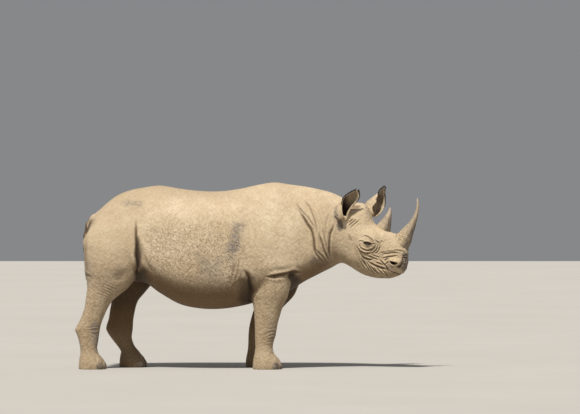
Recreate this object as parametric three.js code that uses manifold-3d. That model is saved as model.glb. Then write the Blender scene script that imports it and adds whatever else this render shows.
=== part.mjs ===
// Black rhinoceros, standing, life size. Millimetres, +X forward, +Y to its left, +Z up, soles at z = 0.
import * as THREE from "three";
import { mergeVertices } from "three/addons/utils/BufferGeometryUtils.js";
import Module from "manifold-3d";

const wasm = await Module();
wasm.setup();

// Thin gap left between neighbours that share a cut.
const GAP = 0.3;
const ANKLE_HEIGHT = 130;

// Trunk and neck by stations: x, top, underside, half width, height of the widest level, sideways shift.
const TRUNK = [
  [-1338, 1185, 950, 90, 1070, 0],
  [-1300, 1256, 880, 170, 1065, 0],
  [-1240, 1328, 810, 240, 1055, 0],
  [-1113, 1436, 755, 298, 1045, 0],
  [-1000, 1488, 735, 328, 1015, 0],
  [-860, 1517, 718, 356, 965, 0],
  [-735, 1532, 632, 385, 925, 0],
  [-567, 1506, 538, 406, 890, 0],
  [-399, 1487, 501, 419, 870, 0],
  [-231, 1484, 497, 420, 865, 0],
  [-63, 1505, 520, 407, 870, 0],
  [105, 1541, 563, 378, 890, 0],
  [231, 1558, 600, 352, 915, 0],
  [357, 1541, 652, 324, 950, 0],
  [483, 1524, 730, 288, 1000, -8],
  [609, 1499, 796, 248, 1080, -30],
  [735, 1462, 862, 192, 1140, -62],
  [860, 1388, 955, 148, 1155, -98],
  [960, 1290, 1030, 100, 1150, -125],
];
const TRUNK_ROUNDNESS = [2.0, 2.25];

// Legs by level: z, centre x, half length, centre |y|, half width.
const HIND_RIGHT = [
  [1300, -1090, 80, 130, 40],
  [1190, -1125, 170, 178, 104],
  [1075, -1146, 222, 205, 127],
  [991, -1140, 222, 207, 146],
  [890, -1139, 220, 203, 158],
  [806, -1141, 213, 198, 150],
  [764, -1141, 203, 195, 142],
  [722, -1150, 189, 193, 132],
  [672, -1170, 168, 191, 118],
  [622, -1205, 139, 190, 104],
  [571, -1238, 113, 190, 93],
  [512, -1262, 98, 190, 84],
  [462, -1282, 95, 190, 79],
  [403, -1305, 95, 190, 76],
  [353, -1327, 101, 190, 75],
  [328, -1335, 104, 190, 74],
  [294, -1331, 94, 190, 73],
  [235, -1326, 81, 190, 71],
  [176, -1325, 71, 190, 70],
  [130, -1318, 76, 190, 77],
];
const HIND_LEFT = [
  [1300, -1090, 80, 130, 40],
  [1190, -1125, 170, 178, 104],
  [1075, -1143, 222, 205, 127],
  [991, -1121, 226, 207, 146],
  [890, -1077, 229, 203, 158],
  [806, -1033, 213, 198, 150],
  [764, -1006, 199, 195, 142],
  [701, -978, 166, 193, 128],
  [655, -993, 147, 191, 115],
  [605, -1016, 128, 190, 101],
  [571, -1032, 115, 190, 93],
  [529, -1045, 108, 190, 86],
  [479, -1056, 106, 190, 80],
  [403, -1069, 105, 190, 76],
  [353, -1079, 111, 190, 75],
  [319, -1082, 112, 190, 74],
  [286, -1077, 102, 190, 73],
  [252, -1067, 89, 190, 72],
  [210, -1046, 78, 190, 71],
  [172, -1022, 72, 190, 71],
  [130, -992, 77, 190, 77],
];
const FORE_RIGHT = [
  [1040, 200, 120, 225, 85],
  [900, 196, 165, 222, 112],
  [764, 190, 170, 215, 118],
  [722, 194, 165, 212, 116],
  [655, 191, 159, 207, 110],
  [605, 184, 153, 203, 104],
  [571, 182, 141, 201, 99],
  [504, 172, 119, 199, 91],
  [445, 166, 107, 198, 85],
  [386, 159, 97, 198, 80],
  [311, 153, 89, 198, 77],
  [277, 150, 86, 198, 77],
  [235, 144, 78, 198, 75],
  [176, 140, 73, 198, 74],
  [130, 143, 82, 198, 82],
];
const FORE_LEFT = [
  [1040, 210, 120, 225, 85],
  [900, 235, 162, 222, 112],
  [764, 268, 166, 215, 118],
  [706, 275, 160, 212, 116],
  [655, 260, 156, 207, 110],
  [613, 246, 151, 203, 104],
  [571, 223, 141, 201, 99],
  [521, 190, 124, 199, 91],
  [470, 158, 111, 198, 86],
  [403, 126, 99, 198, 80],
  [336, 103, 90, 198, 77],
  [277, 92, 85, 198, 77],
  [218, 82, 77, 198, 75],
  [168, 76, 73, 198, 74],
  [130, 80, 82, 198, 82],
];
const LEG_ROUNDNESS = 2.25;
// Feet: half length and half width on the ground, how far the sole reaches ahead of the ankle.
const HIND_FOOT = { length: 110, width: 103, ahead: 20 };
const FORE_FOOT = { length: 117, width: 110, ahead: 20 };
// Foot's growth from ankle to sole by height, and the rounding of the sole's edge.
const FOOT_SWELL = [
  [112, 0.24],
  [88, 0.58],
  [60, 0.86],
  [34, 1.0],
  [14, 0.99],
  [4, 0.95],
  [0, 0.9],
];

// Head frame: its origin lies level with the eyes on the mid-plane, turned to the right and bent down.
const HEAD_ORIGIN = new THREE.Vector3(1003, -125, 1054);
const HEAD_TURN = THREE.MathUtils.degToRad(18);
const HEAD_BEND = THREE.MathUtils.degToRad(37.3);
// Head by stations: distance forward, top, underside, half width, height of the widest level.
const HEAD = [
  [-330, 160, -150, 80, 10],
  [-283, 205, -215, 104, 5],
  [-233, 238, -248, 120, 0],
  [-182, 240, -248, 132, 0],
  [-120, 202, -252, 142, 2],
  [-60, 168, -247, 148, 5],
  [0, 166, -244, 146, 8],
  [50, 180, -243, 138, 10],
  [100, 193, -237, 124, 8],
  [150, 206, -226, 110, 2],
  [200, 204, -206, 99, 0],
  [250, 190, -180, 92, 0],
  [300, 166, -144, 88, 5],
  [340, 128, -112, 80, 10],
  [368, 97, -72, 66, 12],
  [384, 72, -44, 48, 14],
  [393, 48, -14, 28, 16],
];
const HEAD_ROUNDNESS = [2.35, 2.2];
// Soft forms on the head: forward, up, out, then the three radii in the same order, and the blend.
const BROW = [34, 66, 104, 66, 42, 40, 45];
const CHEEKBONE = [-20, -8, 98, 120, 50, 42, 60];
const JAW_MUSCLE = [-70, -122, 66, 120, 112, 56, 60];
const NOSTRIL_RIM = [296, 18, 62, 58, 50, 34, 35];
const UPPER_LIP = [342, 4, 0, 54, 56, 56, 36];
const HORN_SEAT = [222, 116, 0, 114, 82, 86, 40];

const EYE = { ahead: 39, up: 29, out: 136, radius: 24 };
const NOSTRIL = { ahead: 308, up: 22, out: 98, half: [32, 13, 34], tilt: 0.42 };
// Line of the mouth on the head's side, from the corner to the lip's tip.
const MOUTH = [
  [183, -80],
  [230, -70],
  [275, -60],
  [318, -50],
  [357, -36],
  [420, -22],
];

// Horns along the head's mid-plane: forward, up, half length, half width.
const FRONT_HORN = [
  [226, 150, 94, 70],
  [228, 182, 92, 68],
  [233, 214, 72, 58],
  [229, 252, 60, 50],
  [224, 296, 49, 42],
  [221, 340, 38, 34],
  [214, 382, 28, 26],
  [202, 428, 20, 19],
  [184, 476, 14, 13],
  [161, 517, 10.5, 10],
  [137, 546, 8, 7.5],
  [122, 561, 3.5, 3.5],
];
const REAR_HORN = [
  [42, 130, 68, 52],
  [42, 168, 67, 51],
  [36, 200, 58, 45],
  [28, 235, 46, 37],
  [19, 270, 34, 29],
  [8, 305, 23, 20],
  [-6, 335, 12, 11],
  [-18, 356, 4, 4],
];

const EAR_WALL = [9.5, 5];
// Ears: seat in the head frame, lengthwise and opening directions in the body's frame, fleshy root by
// two rows (along, across, toward the opening, radius), and the leaf by stations: along, across, toward
// the opening, half width, half depth, turn of the opening and half its width in degrees.
const RIGHT_EAR = {
  seat: [-243, 80, 138],
  along: [0.36, -0.3, 0.88],
  open: [0.5, -0.866, 0],
  root: [
    [-45, -17, 0, 44],
    [40, -53, 0, 50],
  ],
  leaf: [
    [0, -52, 0, 44, 60, 28, 8],
    [28, -54, 0, 46, 66, 24, 38],
    [62, -54, 0, 46, 65, 13, 57],
    [98, -47, 2, 47, 56, 2, 73],
    [135, -38, 4, 54, 42, -6, 90],
    [168, -28, 6, 62, 34, -3, 100],
    [196, -18, 5, 59, 25, 0, 104],
    [222, -8, 1, 43, 16, 0, 105],
    [242, -2, -4, 23, 8, 0, 105],
    [256, 2, -7, 5, 3, 0, 105],
  ],
};
const LEFT_EAR = {
  seat: [-178, 189, -116],
  along: [0.565, 0.1, 0.82],
  open: [0.883, -0.47, 0],
  root: [
    [-40, 0, 0, 60],
    [60, 0, -8, 50],
  ],
  leaf: [
    [0, 0, 14, 52, 70, -6, 22],
    [36, 0, 22, 54, 75, -26, 46],
    [66, 0, 24, 56, 76, -24, 52],
    [96, 0, 26, 57, 69, -20, 54],
    [125, 0, 26, 58, 55, -16, 60],
    [152, 0, 22, 57, 36, -12, 66],
    [178, 0, 16, 51, 18, -14, 86],
    [202, 0, 7, 40, 9, -6, 98],
    [228, 0, 0, 20, 4, 0, 100],
    [249, 0, -4, 4, 2, 0, 100],
  ],
};

// Tail by its centre line: x, y, z, radius.
const TAIL = [
  [-1225, 0, 1272, 44],
  [-1280, 0, 1250, 40],
  [-1324, 2, 1196, 34],
  [-1348, 4, 1110, 28],
  [-1354, 6, 1010, 24],
  [-1350, 8, 920, 20],
  [-1345, 9, 850, 17],
];
const TAIL_TUFT = [
  [-1344.6, 9, 848, 16],
  [-1342, 10, 820, 21],
  [-1338, 11, 785, 23],
  [-1333, 12, 750, 19],
  [-1328, 13, 718, 11],
  [-1325, 13, 700, 4],
];

const clamp = THREE.MathUtils.clamp;

// Smallest of two distances, rounded over a width k.
function blend(a, b, k) {
  const h = Math.max(k - Math.abs(a - b), 0) / k;
  return Math.min(a, b) - h * h * k * 0.25;
}

// Row of a station table at t, on a smooth curve through the rows.
function stationAt(table, t) {
  const down = table[0][0] > table[table.length - 1][0];
  const sign = down ? -1 : 1;
  const last = table.length - 1;
  const s = clamp(t * sign, table[0][0] * sign, table[last][0] * sign);
  let i = 0;
  while (i < last - 1 && s > table[i + 1][0] * sign) i += 1;
  const before = table[Math.max(i - 1, 0)];
  const a = table[i];
  const b = table[i + 1];
  const after = table[Math.min(i + 2, last)];
  const span = (b[0] - a[0]) * sign;
  const u = (s - a[0] * sign) / span;
  return a.map((value, k) => {
    const slopeA = ((b[k] - before[k]) / ((b[0] - before[0]) * sign)) * span;
    const slopeB = ((after[k] - a[k]) / ((after[0] - a[0]) * sign)) * span;
    const u2 = u * u;
    const u3 = u2 * u;
    const hermite = (2 * u3 - 3 * u2 + 1) * value + (u3 - 2 * u2 + u) * slopeA;
    return hermite + (3 * u2 - 2 * u3) * b[k] + (u3 - u2) * slopeB;
  });
}

// Signed distance in a flat section to a rounded oval with half sizes a and b.
function ovalDistance(p, q, a, b, power) {
  const r = (Math.abs(p / a) ** power + Math.abs(q / b) ** power) ** (1 / power);
  if (r < 1e-6) return -Math.min(a, b);
  return Math.hypot(p, q) * (1 - 1 / r);
}

// Distance in a section joined with how far t lies past the ends of the table.
function capped(inSection, table, t) {
  const first = table[0][0];
  const final = table[table.length - 1][0];
  const past = Math.max(Math.min(first, final) - t, t - Math.max(first, final));
  if (past <= 0) return inSection;
  return inSection > 0 ? Math.hypot(inSection, past) : Math.max(inSection, past);
}

function trunkField(p) {
  const [, top, under, half, wide, side] = stationAt(TRUNK, p.x);
  const upper = p.z > wide;
  const height = upper ? top - wide : wide - under;
  const d = ovalDistance(p.y - side, p.z - wide, half, height, TRUNK_ROUNDNESS[upper ? 0 : 1]);
  return capped(d, TRUNK, p.x);
}

function legField(table, side) {
  return (p) => {
    const [, x, length, y, width] = stationAt(table, p.z);
    const d = ovalDistance(p.x - x, p.y - y * side, length, width, LEG_ROUNDNESS);
    return capped(d, table, p.z);
  };
}

const headMatrix = new THREE.Matrix4()
  .makeTranslation(HEAD_ORIGIN)
  .multiply(new THREE.Matrix4().makeRotationZ(-HEAD_TURN))
  .multiply(new THREE.Matrix4().makeRotationY(HEAD_BEND));
const headInverse = headMatrix.clone().invert();

// Point of the head frame given as forward, up, out to the right.
function headPoint(ahead, up, out) {
  return new THREE.Vector3(ahead, -out, up).applyMatrix4(headMatrix);
}

// Signed distance to an ellipsoid, close to true near its surface.
function lumpDistance(x, y, z, rx, ry, rz) {
  const k0 = Math.hypot(x / rx, y / ry, z / rz);
  const k1 = Math.hypot(x / rx ** 2, y / ry ** 2, z / rz ** 2);
  return k1 < 1e-9 ? -Math.min(rx, ry, rz) : (k0 * (k0 - 1)) / k1;
}

function headField(p) {
  const q = p.clone().applyMatrix4(headInverse);
  const out = Math.abs(q.y);
  const [, top, under, half, wide] = stationAt(HEAD, q.x);
  const upper = q.z > wide;
  const height = upper ? top - wide : wide - under;
  const oval = ovalDistance(q.y, q.z - wide, half, height, HEAD_ROUNDNESS[upper ? 0 : 1]);
  let d = capped(oval, HEAD, q.x);
  for (const [a, u, o, ra, ru, ro, k] of [
    BROW,
    CHEEKBONE,
    JAW_MUSCLE,
    NOSTRIL_RIM,
    UPPER_LIP,
    HORN_SEAT,
  ]) {
    d = blend(d, lumpDistance(q.x - a, q.z - u, out - o, ra, ru, ro), k);
  }
  return d;
}

// Station table carried on from the ankle down to the sole.
function withFoot(table, foot) {
  const [, x, length, y, width] = table[table.length - 1];
  const rows = FOOT_SWELL.map(([z, swell]) => [
    z,
    x + foot.ahead * swell,
    length + (foot.length - length) * swell,
    y,
    width + (foot.width - width) * swell,
  ]);
  return [...table, ...rows];
}

const LEGS = {
  hind_right: { table: withFoot(HIND_RIGHT, HIND_FOOT), side: -1 },
  hind_left: { table: withFoot(HIND_LEFT, HIND_FOOT), side: 1 },
  fore_right: { table: withFoot(FORE_RIGHT, FORE_FOOT), side: -1 },
  fore_left: { table: withFoot(FORE_LEFT, FORE_FOOT), side: 1 },
};
for (const leg of Object.values(LEGS)) leg.field = legField(leg.table, leg.side);

// Seat and the lengthwise, opening and crosswise directions of an ear.
function earFrame(ear) {
  const along = new THREE.Vector3(...ear.along).normalize();
  const open = new THREE.Vector3(...ear.open);
  open.addScaledVector(along, -open.dot(along)).normalize();
  const across = new THREE.Vector3().crossVectors(along, open).normalize();
  return { seat: headPoint(...ear.seat), along, open, across, root: ear.root };
}

const EAR_FRAMES = [RIGHT_EAR, LEFT_EAR].map(earFrame);

function earRootField(p) {
  let d = Infinity;
  for (const { seat, along, open, across, root } of EAR_FRAMES) {
    const offset = new THREE.Vector3().subVectors(p, seat);
    const place = [offset.dot(along), offset.dot(across), offset.dot(open)];
    const [from, to] = root;
    const t = clamp((place[0] - from[0]) / (to[0] - from[0]), 0, 1);
    const away = Math.hypot(...place.map((value, k) => value - from[k] - (to[k] - from[k]) * t));
    d = Math.min(d, away - from[3] - (to[3] - from[3]) * t);
  }
  return d;
}

// Width over which a leg rounds into the trunk: narrow at the flank, wide over the buttock.
function legBlend(p) {
  return 46 + 60 * THREE.MathUtils.smoothstep(-p.x, 1130, 1300);
}

// The whole animal without ears, horns and tail.
function bodyField(p) {
  let d = trunkField(p);
  for (const leg of Object.values(LEGS)) d = blend(d, leg.field(p), legBlend(p));
  d = blend(d, headField(p), 56);
  return p.x > 600 ? blend(d, earRootField(p), 30) : d;
}

// Closed surface from rings of points; the first and last ring are single points.
function closedSurface(rings, sides, pointAt) {
  const points = [pointAt(0, 0)];
  for (let i = 1; i < rings; i += 1) {
    for (let j = 0; j < sides; j += 1) points.push(pointAt(i, j));
  }
  points.push(pointAt(rings, 0));
  const end = points.length - 1;
  const index = [];
  const at = (i, j) => 1 + (i - 1) * sides + (j % sides);
  for (let j = 0; j < sides; j += 1) {
    index.push(0, at(1, j + 1), at(1, j));
    for (let i = 1; i < rings - 1; i += 1) {
      index.push(at(i, j), at(i, j + 1), at(i + 1, j));
      index.push(at(i + 1, j), at(i, j + 1), at(i + 1, j + 1));
    }
    index.push(end, at(rings - 1, j), at(rings - 1, j + 1));
  }
  const geometry = new THREE.BufferGeometry().setFromPoints(points);
  geometry.setIndex(index);
  return geometry;
}

function solidOf(geometry) {
  const bare = new THREE.BufferGeometry();
  bare.setAttribute("position", geometry.getAttribute("position"));
  bare.setIndex(geometry.index);
  const merged = mergeVertices(bare, 1e-4);
  const made = new wasm.Manifold(
    new wasm.Mesh({
      numProp: 3,
      vertProperties: new Float32Array(merged.getAttribute("position").array),
      triVerts: new Uint32Array(merged.index.array),
    }),
  );
  if (made.volume() > 0) return made;
  const index = merged.index.array;
  for (let i = 0; i < index.length; i += 3) {
    const first = index[i];
    index[i] = index[i + 1];
    index[i + 1] = first;
  }
  return solidOf(merged);
}

function geometryOf(solid) {
  const mesh = solid.getMesh();
  const step = mesh.numProp;
  const positions = new Float32Array(mesh.numVert * 3);
  for (let i = 0; i < mesh.numVert; i += 1) {
    positions.set(mesh.vertProperties.subarray(i * step, i * step + 3), i * 3);
  }
  const geometry = new THREE.BufferGeometry();
  geometry.setAttribute("position", new THREE.BufferAttribute(positions, 3));
  geometry.setIndex(new THREE.BufferAttribute(mesh.triVerts, 1));
  geometry.computeVertexNormals();
  return geometry;
}

// Where a ray from inside the body first leaves it, at most reach away.
function surfaceAlong(field, from, direction, reach) {
  const step = 14;
  const at = (t) => from.clone().addScaledVector(direction, t);
  let near = 0;
  while (near < reach && field(at(near + step)) < 0) near += step;
  if (near >= reach) return at(reach);
  let far = near + step;
  for (let k = 0; k < 18; k += 1) {
    const middle = (near + far) / 2;
    if (field(at(middle)) < 0) near = middle;
    else far = middle;
  }
  return at((near + far) / 2);
}

// Skin of a field seen from a spine: rays swing round the first and last point and go straight out between.
function castSolid(field, spine, along, { sides, rings, startCap, endCap, reach }) {
  const curve = new THREE.CatmullRomCurve3(spine, false, "centripetal");
  const upward = Math.abs(along.z) > 0.9 ? new THREE.Vector3(1, 0, 0) : new THREE.Vector3(0, 0, 1);
  const across = new THREE.Vector3().crossVectors(upward, along).normalize();
  const lifted = new THREE.Vector3().crossVectors(along, across).normalize();
  const total = startCap + rings + endCap;
  return solidOf(
    closedSurface(total, sides, (i, j) => {
      const t = clamp((i - startCap) / rings, 0, 1);
      const before = Math.min(0, i - startCap) / startCap;
      const after = Math.max(0, i - startCap - rings) / endCap;
      const swing = before + after;
      const tilt = (swing * Math.PI) / 2;
      const turn = (j / sides) * 2 * Math.PI;
      const direction = new THREE.Vector3()
        .addScaledVector(lifted, Math.cos(turn) * Math.cos(tilt))
        .addScaledVector(across, Math.sin(turn) * Math.cos(tilt))
        .addScaledVector(along, Math.sin(tilt));
      return surfaceAlong(field, curve.getPoint(t), direction, reach);
    }),
  );
}

// Block that fills the side of a plane its normal points to, starting a little past the plane.
function beyondPlane(point, normal, past = 0) {
  const size = 4000;
  const box = new THREE.BoxGeometry(size, size, size);
  box.translate(0, 0, size / 2 + past);
  const turn = new THREE.Quaternion().setFromUnitVectors(new THREE.Vector3(0, 0, 1), normal);
  box.applyQuaternion(turn);
  box.translate(point.x, point.y, point.z);
  return solidOf(box);
}

// Prism through the whole width over an outline given in x and z.
function sideBlock(outline, from, to) {
  const shape = new THREE.Shape(outline.map(([x, z]) => new THREE.Vector2(x, z)));
  const block = new THREE.ExtrudeGeometry(shape, { depth: to - from, bevelEnabled: false });
  block.applyMatrix4(new THREE.Matrix4().makeRotationX(Math.PI / 2));
  block.translate(0, to, 0);
  return solidOf(block);
}

// Cuts that take a leg out of the body, in x and z from the top down. Each begins in the flesh; the wide end
// clears the body round the leg, the close end follows the leg itself.
const RUMP = [
  [-1700, 1185],
  [-1400, 1205],
  [-1250, 1285],
];
const FLANK_RIGHT = [
  [-1120, 1318],
  [-1010, 1280],
  [-935, 1140],
  [-916, 960],
  [-918, 850],
  [-934, 760],
  [-944, 714],
];
const FLANK_RIGHT_WIDE = [
  [-900, 703],
  [-850, 692],
  [-800, 656],
  [-735, 608],
  [-650, 548],
  [-600, 480],
  [-600, ANKLE_HEIGHT],
];
const FLANK_RIGHT_CLOSE = [
  [-952, 680],
  [-1010, 600],
  [-1080, 540],
  [-1110, 440],
  [-1120, ANKLE_HEIGHT],
];
const FLANK_LEFT = [
  [-1120, 1318],
  [-1000, 1280],
  [-902, 1150],
  [-868, 990],
  [-826, 890],
  [-799, 806],
  [-790, 750],
  [-792, 705],
  [-799, 674],
];
const FLANK_LEFT_WIDE = [
  [-785, 648],
  [-735, 605],
  [-650, 548],
  [-600, 480],
  [-600, ANKLE_HEIGHT],
];
const FLANK_LEFT_CLOSE = [
  [-822, 662],
  [-852, 632],
  [-884, 580],
  [-912, 500],
  [-900, 300],
  [-800, ANKLE_HEIGHT],
];
const ELBOW_RIGHT = [
  [60, 900],
  [-10, 790],
  [2, 700],
  [-2, 600],
  [4, 548],
  [8, 524],
];
const ELBOW_LEFT = [
  [60, 900],
  [20, 790],
  [52, 700],
  [56, 610],
  [60, 560],
  [58, 530],
];
const ELBOW_WIDE = [
  [0, 498],
  [-60, 465],
  [-190, 430],
  [-190, ANKLE_HEIGHT],
];
const ELBOW_CLOSE = [
  [10, 480],
  [-60, 300],
  [-60, ANKLE_HEIGHT],
];
const BREAST = [
  [190, 940],
  [330, 890],
  [440, 780],
  [455, 700],
  [520, 668],
  [620, 600],
  [620, ANKLE_HEIGHT],
];

// Outline from a back and a front edge, drawn in on every side by a gap.
function cutOutline(back, front, gap) {
  const rear = back.map(([x, z]) => [x + gap, Math.max(z - gap, ANKLE_HEIGHT + gap)]);
  const fore = front.map(([x, z]) => [x - gap, Math.max(z - gap, ANKLE_HEIGHT + gap)]);
  return [...rear.reverse(), ...fore];
}

function hindOutline(side, gap, close) {
  const flank = side < 0 ? FLANK_RIGHT : FLANK_LEFT;
  const wide = side < 0 ? FLANK_RIGHT_WIDE : FLANK_LEFT_WIDE;
  const tight = side < 0 ? FLANK_RIGHT_CLOSE : FLANK_LEFT_CLOSE;
  const rump = [...RUMP].reverse();
  return cutOutline([...rump, [-1700, ANKLE_HEIGHT]], [...flank, ...(close ? tight : wide)], gap);
}

function foreOutline(side, gap, close) {
  const elbow = side < 0 ? ELBOW_RIGHT : ELBOW_LEFT;
  return cutOutline([...elbow, ...(close ? ELBOW_CLOSE : ELBOW_WIDE)], BREAST, gap);
}

function legCutter(outline, side, inner, outer) {
  const [yA, zA] = inner;
  const [yB, zB] = outer;
  const block = side < 0 ? sideBlock(outline, -700, 0) : sideBlock(outline, 0, 700);
  const normal = new THREE.Vector3(0, (zB - zA) * side, yA - yB).normalize();
  return block.intersect(beyondPlane(new THREE.Vector3(0, yA * side, zA), normal));
}

function hindCutter(side, gap = 0, close = false) {
  return legCutter(hindOutline(side, gap, close), side, [14 + gap, 820], [430 + gap, 1240]);
}

function foreCutter(side, gap = 0, close = false) {
  return legCutter(foreOutline(side, gap, close), side, [40 + gap, 700], [440 + gap, 960]);
}

function legSpine(leg, levels) {
  return levels.map((level) => {
    const [, x, , y] = stationAt(leg.table, level);
    return new THREE.Vector3(x, y * leg.side, level);
  });
}

function makeLeg(name) {
  const leg = LEGS[name];
  const hind = name.startsWith("hind");
  const field = (p) => blend(trunkField(p), leg.field(p), legBlend(p));
  const spine = legSpine(leg, hind ? [1020, 860, 700, 560, 430, 330, 240, 150] : [800, 680, 560, 420, 300, 150]);
  const cast = castSolid(field, spine, new THREE.Vector3(0, 0, -1), {
    sides: 14,
    rings: hind ? 14 : 11,
    startCap: 6,
    endCap: 1,
    reach: 560,
  });
  const cutter = hind ? hindCutter(leg.side, GAP, true) : foreCutter(leg.side, GAP, true);
  return cast.intersect(cutter);
}

// Foot: stacked sections from the sole to the ankle.
function makeFoot(leg) {
  const levels = [0, 0, 6, 34, 70, 104, ANKLE_HEIGHT, ANKLE_HEIGHT];
  const sides = 12;
  const last = levels.length - 1;
  let foot = solidOf(
    closedSurface(last, sides, (i, j) => {
      const [z, x, length, y, width] = stationAt(leg.table, levels[i]);
      if (i === 0 || i === last) return new THREE.Vector3(x, y * leg.side, z);
      const turn = (j / sides) * 2 * Math.PI;
      const c = Math.cos(turn);
      const s = Math.sin(turn);
      const r = (Math.abs(c) ** LEG_ROUNDNESS + Math.abs(s) ** LEG_ROUNDNESS) ** (-1 / LEG_ROUNDNESS);
      return new THREE.Vector3(x + c * r * length, y * leg.side + s * r * width, z);
    }),
  );
  for (const nail of [0, 1, 2]) foot = foot.subtract(makeNail(leg, nail, GAP));
  return foot;
}

// Toenails stand round the front of the foot: the middle one is the broadest.
function makeNail(leg, number, grow = 0) {
  const angle = [-0.86, 0, 0.86][number];
  const half = number === 1 ? 36 : 30;
  const [, x, length, y, width] = stationAt(leg.table, 30);
  const shape = new THREE.SphereGeometry(1, 8, 4);
  shape.scale(15 + grow, half + grow, 27 + grow);
  shape.rotateY(-0.16);
  shape.rotateZ(angle);
  const c = Math.cos(angle) * (length - 6);
  const s = Math.sin(angle) * (width - 6);
  shape.translate(x + c, y * leg.side + s, 31);
  return solidOf(shape);
}

function makeBody() {
  const spine = [
    [-1130, 0, 1090],
    [-900, 0, 1080],
    [-500, 0, 1020],
    [-100, 0, 1010],
    [250, 0, 1060],
    [480, -6, 1110],
    [640, -35, 1150],
    [790, -80, 1175],
  ];
  const points = spine.map((p) => new THREE.Vector3(...p));
  return castSolid(bodyField, points, new THREE.Vector3(1, 0, 0), {
    sides: 24,
    rings: 28,
    startCap: 7,
    endCap: 1,
    reach: 620,
  });
}

const NECK_ROOT = { point: new THREE.Vector3(452, 0, 1100), normal: new THREE.Vector3(0.955, -0.02, 0.29).normalize() };
const NAPE = headPoint(-382, 230, 0);
const THROAT = headPoint(-102, -272, 0);

function headPlaneNormal() {
  const down = new THREE.Vector3().subVectors(THROAT, NAPE);
  const across = headPoint(0, 0, 1).sub(headPoint(0, 0, 0));
  const normal = new THREE.Vector3().crossVectors(across, down).normalize();
  return normal.x > 0 ? normal : normal.negate();
}

function makeTrunk(body) {
  let trunk = body.intersect(beyondPlane(NECK_ROOT.point, NECK_ROOT.normal.clone().negate()));
  for (const side of [-1, 1]) {
    trunk = trunk.subtract(hindCutter(side));
    trunk = trunk.subtract(foreCutter(side));
  }
  return trunk.subtract(makeTail(GAP));
}

function makeNeck(body) {
  const front = beyondPlane(THROAT, headPlaneNormal().negate());
  return body.intersect(beyondPlane(NECK_ROOT.point, NECK_ROOT.normal, GAP)).intersect(front);
}

function makeSkull() {
  const spine = [
    [-400, 10],
    [-220, -10],
    [-60, -30],
    [120, -10],
    [310, 8],
  ];
  const points = spine.map(([ahead, up]) => headPoint(ahead, up, 0));
  const forward = headPoint(1, 0, 0).sub(headPoint(0, 0, 0));
  return castSolid(bodyField, points, forward, { sides: 22, rings: 14, startCap: 1, endCap: 6, reach: 460 });
}

// Block under the line of the mouth, in the head frame.
function jawBlock(lower) {
  const outline = [
    ...MOUTH.map(([ahead, up]) => [ahead, up - lower]),
    [520, -40 - lower],
    [520, -500],
    [-20 + lower, -500],
    [-20 + lower, -330],
    [60, -170 - lower],
  ];
  const shape = new THREE.Shape(outline.map(([a, u]) => new THREE.Vector2(a, u)));
  const block = new THREE.ExtrudeGeometry(shape, { depth: 600, bevelEnabled: false });
  block.applyMatrix4(new THREE.Matrix4().makeRotationX(Math.PI / 2));
  block.translate(0, 300, 0);
  block.applyMatrix4(headMatrix);
  return solidOf(block);
}

function makeEye(side, grow = 0) {
  const ball = new THREE.SphereGeometry(EYE.radius + grow, 10, 6);
  const at = headPoint(EYE.ahead, EYE.up, EYE.out * side);
  ball.translate(at.x, at.y, at.z);
  return solidOf(ball);
}

function nostrilHollow(side) {
  const hollow = new THREE.SphereGeometry(1, 12, 6);
  const [length, height, depth] = NOSTRIL.half;
  hollow.scale(length, depth, height);
  hollow.rotateY(-NOSTRIL.tilt);
  hollow.rotateZ(0.25 * side);
  hollow.translate(NOSTRIL.ahead, -NOSTRIL.out * side, NOSTRIL.up);
  hollow.applyMatrix4(headMatrix);
  return solidOf(hollow);
}

function makeHorn(table, sides, grow = 0) {
  const rings = table.length + 1;
  return solidOf(
    closedSurface(rings, sides, (i, j) => {
      const row = table[clamp(i - 1, 0, table.length - 1)];
      const [ahead, up, length, width] = row;
      const drop = i <= 1 ? grow : 0;
      const before = table[Math.max(0, i - 2)];
      const after = table[Math.min(table.length - 1, Math.max(i, 1))];
      const lean = Math.atan2(after[0] - before[0], after[1] - before[1]);
      if (i === 0 || i === rings) return headPoint(ahead, up - drop, 0);
      const turn = (j / sides) * 2 * Math.PI;
      const a = Math.cos(turn) * (length + grow);
      return headPoint(
        ahead + a * Math.cos(lean),
        up - a * Math.sin(lean) - drop,
        Math.sin(turn) * (width + grow),
      );
    }),
  );
}

// Point of an ear's leaf at a station, round by an angle in degrees from the middle of the opening side.
function earPoint(ear, row, degrees, grow, shrink = 1, shift = 0) {
  const { seat, along, open, across } = earFrame(ear);
  const [height, aside, toward, width, depth] = row;
  const angle = THREE.MathUtils.degToRad(degrees);
  const point = seat.clone().addScaledVector(along, height + shift);
  const wide = Math.max((width + grow) * shrink, 0.8);
  const deep = Math.max((depth + grow) * shrink, 0.8);
  point.addScaledVector(across, aside + wide * Math.sin(angle));
  return point.addScaledVector(open, toward + deep * Math.cos(angle));
}

// Seat of an ear: a solid peg of the ear's outline, a little wider than the ear.
function earSeat(ear) {
  const rows = ear.leaf.slice(0, 5);
  const sides = 14;
  const rings = rows.length + 1;
  return solidOf(
    closedSurface(rings, sides, (i, j) => {
      const row = rows[clamp(i - 1, 0, rows.length - 1)];
      const shrink = i === 0 || i === rings ? 0 : 1.04;
      return earPoint(ear, row, (j / sides) * 360, 9, shrink, i <= 1 ? -1 : 0);
    }),
  );
}

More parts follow.
